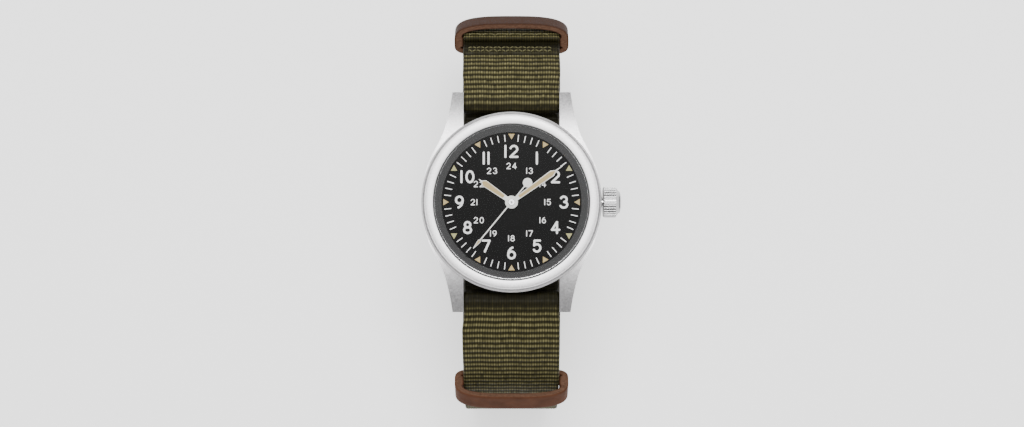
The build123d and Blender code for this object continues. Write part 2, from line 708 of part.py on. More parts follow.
def click_spring():
    px, py = CLICK_PIVOT
    wire = flat([(px - 4.2, py + 1.2), (px - 1.45, py - 0.8), (px - 1.5, py - 1.4), (px - 1.6, py - 1.4),
                 (px - 1.56, py - 0.86), (px - 4.28, py + 1.1)], 1.62, 1.8)
    return wire + rod(0.3, 1.62, 1.95, (px - 4.24, py + 1.15))


# ---------------------------------------------------------------- going train and escapement
def centre_wheel():
    """Hollow arbor that turns once an hour and carries the cannon pinion."""
    wheel = gear(64, 0.09, 3.15, 3.35, phase=THIRD_AT[1]) - windows(1.2, 2.3, 4, 0.4, 3.0, 3.5)
    wheel += pinion(12, 0.14, 3.35, 3.82, phase=BARREL_AT[1])
    wheel += rod(0.38, 3.8, 6.25)
    return wheel - rod(0.17, 3, 6.3)


def third_wheel():
    spot = polar(THIRD_AT)
    wheel = gear(60, 0.0953, 2.93, 3.06, spot, THIRD_AT[1] + 180) - windows(0.9, 2.3, 4, 0.35, 2.8, 3.2, spot)
    wheel += pinion(8, 0.09, 3.06, 3.4, spot, facing_gap(THIRD_AT[1], 8))
    return wheel + rod(0.2, 2.3, 3.85, spot) + rod(0.09, 2.02, 4.2, spot)


def fourth_wheel():
    """Turns once a minute; its long pivot carries the seconds hand."""
    wheel = gear(80, 0.065, 2.7, 2.85, phase=ESCAPE_AT[1]) - windows(0.7, 2.1, 5, 0.3, 2.6, 2.9)
    wheel += pinion(8, 0.0953, 2.85, 3.1, phase=facing_gap(THIRD_AT[1] + 180, 8))
    return wheel + rod(0.125, 2.02, 6.72) + rod(0.2, 2.3, 2.8)


def escape_wheel():
    spot = polar(ESCAPE_AT)
    corners = []
    for tooth in range(15):
        for radius, share in ((1.22, 0.0), (1.55, 0.32), (1.55, 0.44), (1.22, 0.5)):
            corners.append(polar((radius, 24 * (tooth + share))))
    wheel = Pos(spot[0], spot[1], 0) * flat(corners, 2.93, 3.06)
    wheel -= windows(0.5, 1.0, 4, 0.2, 2.9, 3.1, spot)
    wheel += pinion(8, 0.065, 2.68, 2.93, spot, facing_gap(ESCAPE_AT[1], 8))
    return wheel + rod(0.15, 2.3, 3.85, spot) + rod(0.09, 2.02, 4.2, spot)


def pallet_fork():
    """Lever with two pallet stones towards the escape wheel and a fork towards the balance."""
    spot = polar(PALLET_AT)
    lever = flat([(-0.25, -0.12), (2.3, -0.09), (2.3, 0.09), (-0.25, 0.12)], 2.95, 3.05)
    for side in (-1, 1):
        lever += flat([(0.1, side * 0.15), (-0.85, side * 1.0), (-0.98, side * 0.86), (-0.12, side * -0.02)],
                      2.95, 3.05)
        lever += flat([(-0.95, side * 1.0), (-0.78, side * 0.94), (-0.9, side * 0.79), (-1.02, side * 0.85)],
                      2.92, 3.08)
        lever += flat([(2.2, side * 0.05), (2.3, side * 0.3), (2.55, side * 0.2), (2.55, side * 0.1)], 2.95, 3.05)
    lever += rod(0.09, 2.9, 4.2) + rod(0.16, 2.9, 3.85)
    return Pos(spot[0], spot[1], 0) * Rot(0, 0, PALLET_AT[1]) * lever


def balance_wheel():
    """Rim, arms, staff and the roller with its impulse pin."""
    spot = polar(BALANCE_AT)
    wheel = rod(4.3, 2.68, 2.84) - windows(0.7, 3.8, 3, 0.4, 2.6, 2.9)
    wheel += rod(0.35, 2.45, 3.3) + rod(0.15, 2.3, 3.85) + rod(0.09, 2.02, 4.2)
    wheel += rod(0.75, 3.15, 3.25) + rod(0.06, 2.95, 3.2, (-0.55, 0))
    return Pos(spot[0], spot[1], 0) * Rot(0, 0, BALANCE_AT[1]) * wheel


def hairspring():
    return spiral(0.42, 2.6, 9, 0.05, 2.5, 2.6, polar(BALANCE_AT))


# ---------------------------------------------------------------- winding and setting
def stem_pinion(x0, x1):
    """Twelve straight teeth round the stem's axis."""
    outline = tooth_outline(12, 0.2, LEAF_TOOTH, 15)
    wheel = extrude(make_face(Polyline(*outline, close=True)), amount=x1 - x0, dir=(0, 0, 1))
    return Pos(x0, 0, at(STEM_HEIGHT)) * Rot(0, 90, 0) * wheel


def winding_pinion():
    return stem_pinion(8.8, 9.4) - lying_rod(0.44, 8, 10, 0, at(STEM_HEIGHT))


def sliding_pinion():
    body = turned_on_stem([
        (7.95, 0.44), (8.7, 0.44), (8.7, 1.1), (8.45, 1.1), (8.45, 0.75), (8.2, 0.75), (8.2, 1.1), (7.95, 1.1),
    ])
    return body


def yoke():
    return block(8.24, 8.41, 0.8, 4.2, at(3.1), at(3.4))


def setting_lever():
    return block(10.23, 10.39, 0.27, 2.2, at(3.25), at(3.5)) + block(10.23, 11.2, 1.2, 2.2, at(3.05), at(3.3))


# ---------------------------------------------------------------- motion works and hands
def cannon_pinion():
    sleeve = pinion(12, 0.13, 4.85, 5.06, phase=MINUTE_WHEEL_AT[1]) + rod(0.58, 4.85, 6.4)
    return sleeve - rod(0.385, 4.8, 6.5)


def minute_wheel():
    spot = polar(MINUTE_WHEEL_AT)
    toward = MINUTE_WHEEL_AT[1]
    wheel = gear(36, 0.13, 4.88, 5.02, spot, facing_gap(toward, 36))
    wheel += pinion(10, 0.1248, 5.02, 5.25, spot, toward + 180)
    return wheel - rod(0.35, 4.8, 5.3, spot)


def hour_wheel():
    wheel = gear(40, 0.1248, 5.09, 5.22, phase=facing_gap(MINUTE_WHEEL_AT[1] + 180, 40))
    wheel += rod(0.86, 5.1, 6.1)
    return wheel - rod(0.62, 5, 6.2)


def blade(widths, hub, bore, h0, h1, angle):
    """A hand from (distance, half width) pairs along it, with a round hub."""
    left = [(-half, distance) for distance, half in widths]
    right = [(half, distance) for distance, half in reversed(widths)]
    body = flat(left + right, h0, h1) + rod(hub, h0, h1) - rod(bore, h0 - 0.1, h1 + 0.1)
    return clockwise(angle) * body


def hour_hand():
    widths = [(0.5, 0.45), (7.0, 0.7), (7.7, 0.16), (HOUR_LONG, 0.06)]
    return blade(widths, 1.35, 0.865, 5.95, 6.1, HOUR_AT)


def minute_hand():
    widths = [(0.5, 0.4), (10.5, 0.66), (11.4, 0.14), (MINUTE_LONG, 0.06)]
    return blade(widths, 1.15, 0.585, 6.28, 6.42, MINUTE_AT)


def seconds_hand():
    widths = [(-5.3, 0.12), (10.3, 0.12), (10.55, 0.33), (11.1, 0.3), (SECOND_LONG, 0.07)]
    hand = blade(widths, 0.75, 0.13, 6.6, 6.7, 0)
    return clockwise(SECOND_AT) * (hand + rod(1.0, 6.6, 6.7, (0, -5.3)))


NODES = {
    "case_middle": case_middle,
    "bezel": bezel,
    "crystal": crystal,
    "crystal_gasket": lambda: ring(16.42, 16.18, 7.22, 8.35),
    "rehaut_ring": rehaut_ring,
    "dial": dial,
    "hour_hand": hour_hand,
    "minute_hand": minute_hand,
    "seconds_hand": seconds_hand,
    "case_back": case_back,
    "case_back_gasket": lambda: ring(16.15, 15.45, 1.13, 1.47),
    "crown": crown,
    "crown_tube": crown_tube,
    "crown_gasket": crown_gasket,
    "winding_stem": winding_stem,
    "mainplate": mainplate,
    "movement_holder": movement_holder,
    "barrel_bridge": barrel_bridge,
    "train_bridge": train_bridge,
    "balance_cock": balance_cock,
    "bridge_screws": bridge_screws,
    "jewels": jewels,
    "barrel_drum": barrel_drum,
    "barrel_cover": barrel_cover,
    "barrel_arbor": barrel_arbor,
    "mainspring": mainspring,
    "ratchet_wheel": ratchet_wheel,
    "ratchet_screw": ratchet_screw,
    "crown_wheel": crown_wheel,
    "click": click,
    "click_spring": click_spring,
    "centre_wheel": centre_wheel,
    "third_wheel": third_wheel,
    "fourth_wheel": fourth_wheel,
    "escape_wheel": escape_wheel,
    "pallet_fork": pallet_fork,
    "balance_wheel": balance_wheel,
    "hairspring": hairspring,
    "winding_pinion": winding_pinion,
    "sliding_pinion": sliding_pinion,
    "yoke": yoke,
    "setting_lever": setting_lever,
    "minute_wheel": minute_wheel,
    "cannon_pinion": cannon_pinion,
    "hour_wheel": hour_wheel,
    "strap_main": strap_main,
    "strap_flap": strap_flap,
    "keeper_free": lambda: keeper(*on_12(KEEPER_FREE_ANGLE, LOOP_12_R), KEEPER_FREE_ANGLE - 90),
    "keeper_buckle": lambda: flat_keeper(KEEPER_BUCKLE_Y),
    "keeper_flap": lambda: keeper(*on_6(KEEPER_FLAP_ANGLE, LOOP_6_R), 90 - KEEPER_FLAP_ANGLE),
    "buckle_frame": buckle_frame,
    "buckle_bar": buckle_bar,
    "buckle_tongue": buckle_tongue,
    "spring_bar_12": lambda: spring_bar(1),
    "spring_bar_6": lambda: spring_bar(-1),
    "spring_bar_tip_12_left": lambda: spring_bar_tip(1, -1),
    "spring_bar_tip_12_right": lambda: spring_bar_tip(1, 1),
    "spring_bar_tip_6_left": lambda: spring_bar_tip(-1, -1),
    "spring_bar_tip_6_right": lambda: spring_bar_tip(-1, 1),
    "bar_springs": bar_springs,
}

os.makedirs("parts", exist_ok=True)
for name, make in NODES.items():
    export_step(make(), f"parts/{name}.step")
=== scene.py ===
import json
import math

import bmesh
import bpy
import numpy as np
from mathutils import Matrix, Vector


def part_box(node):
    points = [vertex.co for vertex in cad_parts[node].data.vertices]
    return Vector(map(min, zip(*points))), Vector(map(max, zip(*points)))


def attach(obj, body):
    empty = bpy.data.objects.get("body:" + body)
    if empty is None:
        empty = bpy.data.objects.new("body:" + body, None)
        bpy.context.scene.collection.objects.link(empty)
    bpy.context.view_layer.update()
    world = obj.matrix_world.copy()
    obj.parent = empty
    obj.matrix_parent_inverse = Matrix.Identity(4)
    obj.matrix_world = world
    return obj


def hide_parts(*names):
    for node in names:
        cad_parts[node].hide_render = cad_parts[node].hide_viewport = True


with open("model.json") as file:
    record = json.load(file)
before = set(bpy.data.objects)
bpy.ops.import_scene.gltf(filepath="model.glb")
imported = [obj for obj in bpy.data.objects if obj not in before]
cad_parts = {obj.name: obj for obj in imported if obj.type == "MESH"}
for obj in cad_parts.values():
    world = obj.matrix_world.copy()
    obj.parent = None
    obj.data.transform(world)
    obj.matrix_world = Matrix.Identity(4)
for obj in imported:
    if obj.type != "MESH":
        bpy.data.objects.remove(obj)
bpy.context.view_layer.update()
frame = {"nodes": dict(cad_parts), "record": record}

# ---------------- dimensions, in millimetres
# +Z is out of the dial and +Y points to 12 o'clock, as in the frame.
MM = 0.001
BACK_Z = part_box("case_back")[0].z / MM
DIAL_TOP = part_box("dial")[1].z / MM
STRAP_WIDTH = (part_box("strap_main")[1].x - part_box("strap_main")[0].x) / MM + 0.2
STRAP_SWELL = 0.34            # how much further each edge stands out away from the lugs
STRAP_T = 1.2
LAYER = 1.3                   # from the middle of one layer of webbing to the next

# the strap's route, as in the CAD
MAIN_Z = 3.2
REACH_12 = 39.0
LOOP_12_R = 28.18
REACH_6 = 46.8
LOOP_6_R = 39.3
LOOP_6_Z = 20.8
LOW_6_Y, LOW_6_Z, LOW_6_R = -29.6, 3.0, 17.3
SEAM_ANGLE = 38.2
TAIL_TIP_ANGLE = 33.4
FIRST_HOLE_Y = -10.35
HOLE_PITCH = 6.5
HOLE_LENGTH = 4.5
HOLE_WIDTH = 2.3
TONGUE_SLOT = (2.3, 7.6)      # width, and length round the fold

BAR_Y = 21.0
BAR_Z = BACK_Z + 2.2
BAR_WRAP = 1.6
HINGE_Y = -7.5
HINGE_WRAP = 1.4
HINGE_Z = MAIN_Z + HINGE_WRAP
UNDER_R = 2.0
LUG_END = 23.5
UNDER_Y = BAR_Y - BAR_WRAP - UNDER_R
UNDER_Z = BACK_Z - 0.75
FLAP_Z = UNDER_Z - LAYER
FLAP_BEND = 8.0
FLAP_FOLD_BELOW = 4.6
FLAP_FOLD_R = 1.4
TAIL_Z = MAIN_Z - LAYER
TAIL_TURN_Y, TAIL_TURN_R = -9.0, 12.0
CENTRE_12 = (REACH_12 - LOOP_12_R, MAIN_Z + LOOP_12_R)
CENTRE_6 = (LOOP_6_R - REACH_6, LOOP_6_Z)

RIB = 1.235                   # from one woven rib to the next
RIB_6 = 1.36                  # the 6 o'clock side is drawn out a little
ROWS_PER_RIB = 6
YARN = 0.54                   # from one lengthwise yarn to the next
RIB_DEPTH = 0.2
YARN_DEPTH = 0.12

KEEPER_WIDE = 24.9            # across the strap, a little wider than the CAD loop it replaces
KEEPER_HIGH = 6.4
KEEPER_LONG = 5.5             # along the strap
KEEPER_ARCH = 0.9             # how far its outer side bows out
KEEPER_SIDE = 0.78            # how much thicker the hide is where it is bent round the sides
LEATHER_T = 1.1
KEEPER_FREE_ANGLE = 26.0
KEEPER_FLAP_ANGLE = 33.0
KEEPER_BUCKLE_Y = 2.4

# dial print
TICK_IN, TICK_OUT, TICK_WIDE = 12.8, 14.25, 0.18
MARK_IN, MARK_OUT, MARK_WIDE = 13.2, 14.4, 1.41
HOUR_NUMBER_R, HOUR_NUMBER_SIDE_R, HOUR_NUMBER_HIGH, HOUR_STROKE = 10.7, 11.0, 2.75, 0.43
DAY_NUMBER_R, DAY_NUMBER_HIGH, DAY_STROKE = 7.62, 1.33, 0.18
DAY_NUMBER_SHIFT = 0.3        # 20 to 23 stand this much further out
PRINT_T = 0.03
PRINT_SUNK = 0.01             # print and paint start this far inside what they lie on

# hands, clockwise from 12 o'clock
HOUR_AT, MINUTE_AT, SECOND_AT = 305.0, 54.6, 219.6


# ---------------- materials
class Look:
    """A Principled material, with short ways to wire patterns into it."""

    def __init__(self, name, colour, roughness, metallic=0.0, **sockets):
        self.material = bpy.data.materials.new(name)
        self.material.use_nodes = True
        self.tree = self.material.node_tree
        self.shader = self.tree.nodes["Principled BSDF"]
        self.set(Base_Color=(*colour, 1), Roughness=roughness, Metallic=metallic, **sockets)

    def set(self, **sockets):
        for socket, value in sockets.items():
            self.shader.inputs[socket.replace("_", " ")].default_value = value
        return self

    def add(self, kind, **inputs):
        node = self.tree.nodes.new(kind)
        for socket, value in inputs.items():
            if isinstance(value, bpy.types.NodeSocket):
                self.tree.links.new(value, node.inputs[socket.replace("_", " ")])
            else:
                node.inputs[socket.replace("_", " ")].default_value = value
        return node

    def noise(self, size, detail=2.0, stretch=(1, 1, 1), where=None):
        """Noise with features of this size, in mm of the object or in units of where if given."""
        if where is None:
            where = self.add("ShaderNodeTexCoord").outputs["Object"]
            scale = 1 / (size * MM)
        else:
            scale = 1 / size
        spread = self.add("ShaderNodeVectorMath", Vector=where)
        spread.operation = "MULTIPLY"
        spread.inputs[1].default_value = stretch
        found = self.add("ShaderNodeTexNoise", Vector=spread.outputs[0], Scale=scale, Detail=detail)
        return found.outputs["Fac"]

    def attribute(self, name):
        node = self.add("ShaderNodeAttribute")
        node.attribute_name = name
        return node.outputs["Fac"]

    def spread(self, source, low, high, start=0.3, end=0.7):
        """The source's range from start to end, brought to the range from low to high."""
        node = self.add("ShaderNodeMapRange", Value=source)
        for number, value in enumerate((start, end, low, high), 1):
            node.inputs[number].default_value = value
        return node.outputs[0]

    def blend(self, share, first, second):
        node = self.add("ShaderNodeMix")
        node.data_type = "RGBA"
        for number, value in ((0, share), (6, first), (7, second)):
            if isinstance(value, bpy.types.NodeSocket):
                self.tree.links.new(value, node.inputs[number])
            elif isinstance(value, (int, float)):
                node.inputs[number].default_value = value
            else:
                node.inputs[number].default_value = (*value, 1)
        return node.outputs[2]

    def colour(self, source):
        self.tree.links.new(source, self.shader.inputs["Base Color"])
        return self

    def rough(self, source):
        self.tree.links.new(source, self.shader.inputs["Roughness"])
        return self

    def grain(self, source, colour, dark, pale, smooth, coarse):
        """Shades of a colour and a roughness that both follow one pattern."""
        self.rough(self.spread(source, smooth, coarse))
        shades = self.blend(self.spread(source, 0, 1), shade(colour, dark), shade(colour, pale))
        return self.colour(shades)

    def bump(self, source, height, strength=1.0):
        node = self.add("ShaderNodeBump", Height=source, Strength=strength, Distance=height * MM)
        if self.shader.inputs["Normal"].is_linked:
            before = self.shader.inputs["Normal"].links[0].from_socket
            self.tree.links.new(before, node.inputs["Normal"])
        self.tree.links.new(node.outputs[0], self.shader.inputs["Normal"])
        return self


def shade(colour, factor):
    return tuple(min(1.0, part * factor) for part in colour)


def blasted_steel(name, colour, roughness=0.42):
    """Steel with the fine, even grain that glass beads leave."""
    look = Look(name, colour, roughness, 1.0)
    grain = look.noise(0.34, 3.0)
    cloud = look.noise(4.0, 2.0)
    tint = look.blend(look.spread(grain, 0, 1), shade(colour, 0.78), shade(colour, 1.14))
    look.colour(look.blend(look.spread(cloud, 0, 0.35), tint, shade(colour, 0.93)))
    look.rough(look.spread(grain, roughness - 0.07, roughness + 0.08))
    return look.bump(grain, 0.016, 0.7).material


def brushed_metal(name, colour, roughness=0.28, stretch=(0.06, 1, 1), size=0.09):
    """Metal with fine parallel scratches along one axis."""
    look = Look(name, colour, roughness, 1.0)
    lines = look.noise(size, 4.0, stretch)
    look.grain(lines, colour, 0.86, 1.1, roughness - 0.08, roughness + 0.14)
    return look.bump(lines, 0.006, 0.4).material


def polished_metal(name, colour, roughness=0.14):
    look = Look(name, colour, roughness, 1.0)
    haze = look.noise(0.6, 3.0)
    return look.grain(haze, colour, 0.92, 1.05, roughness - 0.04, roughness + 0.1).material


def striped_nickel(name, colour):
    """Plated movement parts with broad straight stripes, each with its own fine scratches."""
    look = Look(name, colour, 0.24, 1.0)
    where = look.add("ShaderNodeTexCoord").outputs["Object"]
    wave = look.add("ShaderNodeTexWave", Vector=where, Scale=0.05 / (0.16 * MM), Distortion=0.0)
    wave.bands_direction = "X"
    scratches = look.noise(0.07, 3.0, (1, 0.08, 1))
    band = look.blend(wave.outputs["Fac"], shade(colour, 0.82), shade(colour, 1.1))
    look.colour(look.blend(look.spread(scratches, 0, 0.5), band, shade(colour, 0.8)))
    look.rough(look.spread(wave.outputs["Fac"], 0.2, 0.38, 0, 1))
    return look.bump(scratches, 0.004, 0.4).material


def plain_coat(name, colour, roughness, size=0.25, depth=0.006, **sockets):
    """Paint, print, plastic or rubber with a fine uneven skin."""
    look = Look(name, colour, roughness, **sockets)
    skin = look.noise(size, 3.0)
    look.grain(skin, colour, 0.86, 1.1, roughness - 0.07, roughness + 0.07)
    return look.bump(skin, depth, 0.5).material


def clear_crystal():
    """Sapphire with an anti-reflection coat: what is under it shows, under a faint, broad gloss."""
    look = Look("crystal_clear", (0.01, 0.01, 0.012), 0.3, Alpha=0.03, IOR=1.5)
    haze = look.noise(3.0, 2.0)
    return look.rough(look.spread(haze, 0.3, 0.36)).material


def ruby():
    look = Look("ruby", (0.42, 0.01, 0.06), 0.08, IOR=1.76, Coat_Weight=0.6)
    depth = look.noise(0.3, 1.0)
    return look.colour(look.blend(depth, (0.28, 0.004, 0.035), (0.6, 0.02, 0.1))).material


# painted shade: these near black colours darken the grooves between ribs and the gaps between yarns, where
# shade falls; the crest colour is the lit top of a rib
WEB_GAP = (0.0012, 0.0010, 0.0002)        # between two yarns in a groove
WEB_GROOVE = (0.036, 0.031, 0.010)
WEB_CREST_GAP = (0.022, 0.019, 0.005)
WEB_CREST = (0.214, 0.192, 0.088)


def webbing():
    """Olive nylon, with painted shade and light that follow the weave's relief: pale where a yarn crosses a
    rib, near black in the grooves between yarns.
    """
    look = Look("webbing", WEB_GROOVE, 0.62, Specular_IOR_Level=0.12)
    uv = look.add("ShaderNodeUVMap").outputs[0]
    relief = look.spread(look.attribute("relief"), 0, 1, 0.28, 0.85)
    dash = look.attribute("dash")
    fibres = look.noise(0.16, 4.0, (3.2, 0.45, 1), uv)
    wear = look.noise(7.0, 3.0, where=uv)
    groove = look.blend(dash, WEB_GAP, WEB_GROOVE)
    yarn = look.blend(look.spread(fibres, 0, 1), shade(WEB_CREST, 0.72), shade(WEB_CREST, 1.2))
    crest_row = look.blend(dash, WEB_CREST_GAP, yarn)
    shaded_weave = look.blend(relief, groove, crest_row)
    look.colour(look.blend(look.spread(wear, 0, 0.22), shaded_weave, WEB_CREST_GAP))
    look.rough(look.spread(fibres, 0.5, 0.78))
    return look.bump(fibres, 0.05, 0.7).material


def thread(name, colour):
    look = Look(name, colour, 0.6, Specular_IOR_Level=0.15)
    twist = look.noise(0.12, 2.0, (0.6, 2, 2))
    look.colour(look.blend(look.spread(twist, 0, 1), shade(colour, 0.5), shade(colour, 1.2)))
    return look.bump(twist, 0.03, 0.8).material


LEATHER_DARK = (0.026, 0.008, 0.003)
LEATHER_RED = (0.077, 0.0295, 0.0145)
LEATHER_CUT = (0.105, 0.056, 0.036)


def leather():
    """Smooth brown hide with fine grain and pores; its cut edges are paler and fibrous."""
    look = Look("leather", LEATHER_RED, 0.5, Specular_IOR_Level=0.02)
    pores = look.noise(0.3, 5.0)
    cloud = look.noise(3.5, 3.0)
    layers = look.noise(0.16, 3.0, (0.25, 0.6, 2.2))
    # painted light and shade: each keeper's whole hide is darkened or lightened by its tone value
    hide_light_and_shade = look.blend(look.attribute("painted_light_tone"), shade(LEATHER_RED, 0.3), shade(LEATHER_RED, 1.4))
    hide = look.blend(look.spread(cloud, 0, 0.5), hide_light_and_shade, LEATHER_DARK)
    hide = look.blend(look.spread(pores, 0, 0.25, 0.45, 0.7), hide, shade(LEATHER_RED, 1.5))
    cut = look.blend(look.spread(layers, 0, 1), shade(LEATHER_CUT, 0.55), shade(LEATHER_CUT, 1.15))
    look.colour(look.blend(look.attribute("cut"), hide, cut))
    look.rough(look.spread(pores, 0.34, 0.6))
    return look.bump(layers, 0.03, 0.4).bump(pores, 0.05, 0.5).material


def rehaut_metal():
    """Dark glossy ring with fine turning marks."""
    look = Look("rehaut_satin", (0.30, 0.30, 0.30), 0.12, 1.0)
    marks = look.noise(0.14, 3.0, (1, 1, 12))
    look.colour(look.blend(look.spread(marks, 0, 1), (0.17, 0.17, 0.17), (0.32, 0.32, 0.323)))
    look.rough(look.spread(marks, 0.1, 0.2))
    return look.bump(marks, 0.002, 0.1).material


STEEL = (0.61, 0.60, 0.605)
MATERIALS = {
    "case_steel": blasted_steel("case_steel_blasted", STEEL),
    "crown_steel": blasted_steel("crown_steel_blasted", (0.43, 0.43, 0.43), 0.3),
    "sapphire": clear_crystal(),
    "gasket": plain_coat("gasket_rubber", (0.02, 0.02, 0.02), 0.6),
    "rehaut": rehaut_metal(),
    "dial_black": plain_coat("dial_lacquer", (0.0028, 0.0028, 0.0026), 0.6, 0.12, 0.001,
                             Specular_IOR_Level=0.04),
    "hand_white": plain_coat("hand_paint", (0.80, 0.80, 0.76), 0.38, 0.2, 0.003),
    "tube_steel": polished_metal("small_steel", (0.62, 0.62, 0.62), 0.2),
    "plate_nickel": striped_nickel("plate_nickel_striped", (0.66, 0.65, 0.61)),
    "holder_plastic": plain_coat("holder_moulding", (0.55, 0.55, 0.52), 0.5, 0.5, 0.01),
    "ruby": ruby(),
    "gear_brass": brushed_metal("gear_gilt", (0.74, 0.54, 0.22), 0.26, (1, 1, 1), 0.12),
    "wheel_steel": brushed_metal("wheel_steel_ground", (0.62, 0.62, 0.63), 0.24, (0.1, 1, 1)),
    "spring_steel": polished_metal("spring_steel_blue", (0.30, 0.33, 0.42), 0.2),
    "webbing": webbing(),
    "leather": leather(),
    "buckle_steel": brushed_metal("buckle_satin", (0.66, 0.66, 0.65), 0.3, (0.05, 1, 1)),
}
PRINT_WHITE = plain_coat("print_white", (0.92, 0.92, 0.90), 0.55, 0.15, 0.004)
LUME_CREAM = plain_coat("lume_cream", (0.50, 0.385, 0.19), 0.7, 0.12, 0.01, Specular_IOR_Level=0.1)
LUME_GREEN = plain_coat("lume_greenish", (0.42, 0.40, 0.20), 0.7, 0.12, 0.01, Specular_IOR_Level=0.1)
THREAD_OLIVE = thread("thread_olive", (0.15, 0.138, 0.068))


def dress_cad_nodes():
    """The record's slot of each carried-over node decides its material."""
    for part in frame["record"]["subparts"]:
        node = frame["nodes"][part["node"]]
        node.data.materials.clear()
        node.data.materials.append(MATERIALS[part["material_slot"]])


# ---------------- mesh helpers
def add_piece(name, points, faces, material, body, slot, replaces=(), smooth=True):
    """A mesh piece from points in millimetres; it rides on a body."""
    mesh = bpy.data.meshes.new(name)
    mesh.from_pydata((np.asarray(points, float) * MM).tolist(), [], [list(map(int, f)) for f in faces])
    mesh.materials.append(material)
    mesh.polygons.foreach_set("use_smooth", [smooth] * len(mesh.polygons))
    mesh.update()
    piece = bpy.data.objects.new(name, mesh)
    bpy.context.scene.collection.objects.link(piece)
    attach(piece, body)
    if replaces:
        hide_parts(*replaces)
    return piece


def face_outwards(piece):
    grid = bmesh.new()
    grid.from_mesh(piece.data)
    bmesh.ops.recalc_face_normals(grid, faces=grid.faces)
    grid.to_mesh(piece.data)
    grid.free()


def smooth_by_angle(piece, degrees=35):
    """Sharp edges stay crisp and round stretches shade smoothly."""
    cosine = math.cos(math.radians(degrees))
    mesh = piece.data
    mesh.polygons.foreach_set("use_smooth", [True] * len(mesh.polygons))
    grid = bmesh.new()
    grid.from_mesh(mesh)
    for edge in grid.edges:
        if len(edge.link_faces) == 2:
            first, second = edge.link_faces
            edge.smooth = first.normal.dot(second.normal) > cosine
    grid.to_mesh(mesh)
    grid.free()


def set_attribute(piece, name, values):
    attribute = piece.data.attributes.new(name, "FLOAT", "POINT")
    attribute.data.foreach_set("value", np.asarray(values, np.float32))


def slab(outline, z0, z1):
    """Points and faces of a flat prism with this outline."""
    count = len(outline)
    points = [(x, y, z) for z in (z0, z1) for x, y in outline]
    faces = [list(range(count))[::-1], list(range(count, 2 * count))]
    faces += [(i, (i + 1) % count, count + (i + 1) % count, count + i) for i in range(count)]
    return points, faces


def gather(parts):
    """Several (points, faces) as one."""
    points, faces = [], []
    for more_points, more_faces in parts:
        start = len(points)
        points += list(more_points)
        faces += [[start + i for i in face] for face in more_faces]
    return points, faces


def ring_faces(steps, count):
    """Quads that join rings of points, each ring to the next and the last to the first."""
    faces = []
    for step in range(steps):
        following = (step + 1) % steps
        for i in range(count):
            j = (i + 1) % count
            faces.append([step * count + i, following * count + i, following * count + j, step * count + j])
    return faces


# ---------------- strap routes
# A route is a list of stops (y, z, radius).  The strap runs round each stop like a belt round a pulley,
# to the left of its travel where the radius is positive and to the right where it is negative.
def on_12(angle, radius):
    turn = math.radians(angle)
    return CENTRE_12[0] + radius * math.cos(turn), CENTRE_12[1] + radius * math.sin(turn)


def on_6(angle, radius, along=0.0):
    across, up = math.cos(math.radians(angle)), math.sin(math.radians(angle))
    return CENTRE_6[0] - radius * across - along * up, CENTRE_6[1] + radius * up - along * across


def flap_bend(centre, loop_r, side):
    up = FLAP_Z - FLAP_BEND - centre[1]
    across = (loop_r - LAYER - FLAP_BEND + 0.005) ** 2 - up ** 2
    return centre[0] + side * across ** 0.5, FLAP_Z - FLAP_BEND, FLAP_BEND


MAIN_STOPS = [
    (*on_12(SEAM_ANGLE - 1.2, LOOP_12_R - LAYER), 0),
    (*CENTRE_12, -(LOOP_12_R - LAYER)),
    (HINGE_Y + 4.3, MAIN_Z + LAYER + 2.0, -2.0),
    (HINGE_Y, HINGE_Z, HINGE_WRAP),
    (*CENTRE_12, LOOP_12_R),
    (BAR_Y, BAR_Z, BAR_WRAP),
    (UNDER_Y, UNDER_Z + UNDER_R, -UNDER_R),
    (-UNDER_Y, UNDER_Z + UNDER_R, -UNDER_R),
    (-BAR_Y, BAR_Z, BAR_WRAP),
    (*CENTRE_6, LOOP_6_R),
    (LOW_6_Y, LOW_6_Z + LOW_6_R, LOW_6_R),
    (TAIL_TURN_Y, TAIL_Z + TAIL_TURN_R, TAIL_TURN_R),
    (*CENTRE_12, LOOP_12_R + LAYER),
    (*on_12(TAIL_TIP_ANGLE, LOOP_12_R + LAYER), 0),
]
FLAP_STOPS = [
    (*on_12(SEAM_ANGLE - 0.6, LOOP_12_R - LAYER), 0),
    (*CENTRE_12, LOOP_12_R - LAYER),
    flap_bend(CENTRE_12, LOOP_12_R, 1),
    flap_bend(CENTRE_6, LOOP_6_R, -1),
    (*CENTRE_6, LOOP_6_R - LAYER),
    # folded back on itself below its keeper
    (*on_6(KEEPER_FLAP_ANGLE - FLAP_FOLD_BELOW, LOOP_6_R - LAYER - FLAP_FOLD_R), FLAP_FOLD_R),
    (*on_6(KEEPER_FLAP_ANGLE, 38.2, -3.1), 3.0),
    (*on_6(KEEPER_FLAP_ANGLE, 33.0, -6.6), -3.0),
    (*on_6(KEEPER_FLAP_ANGLE, 35.3, -10.0), 0),
]


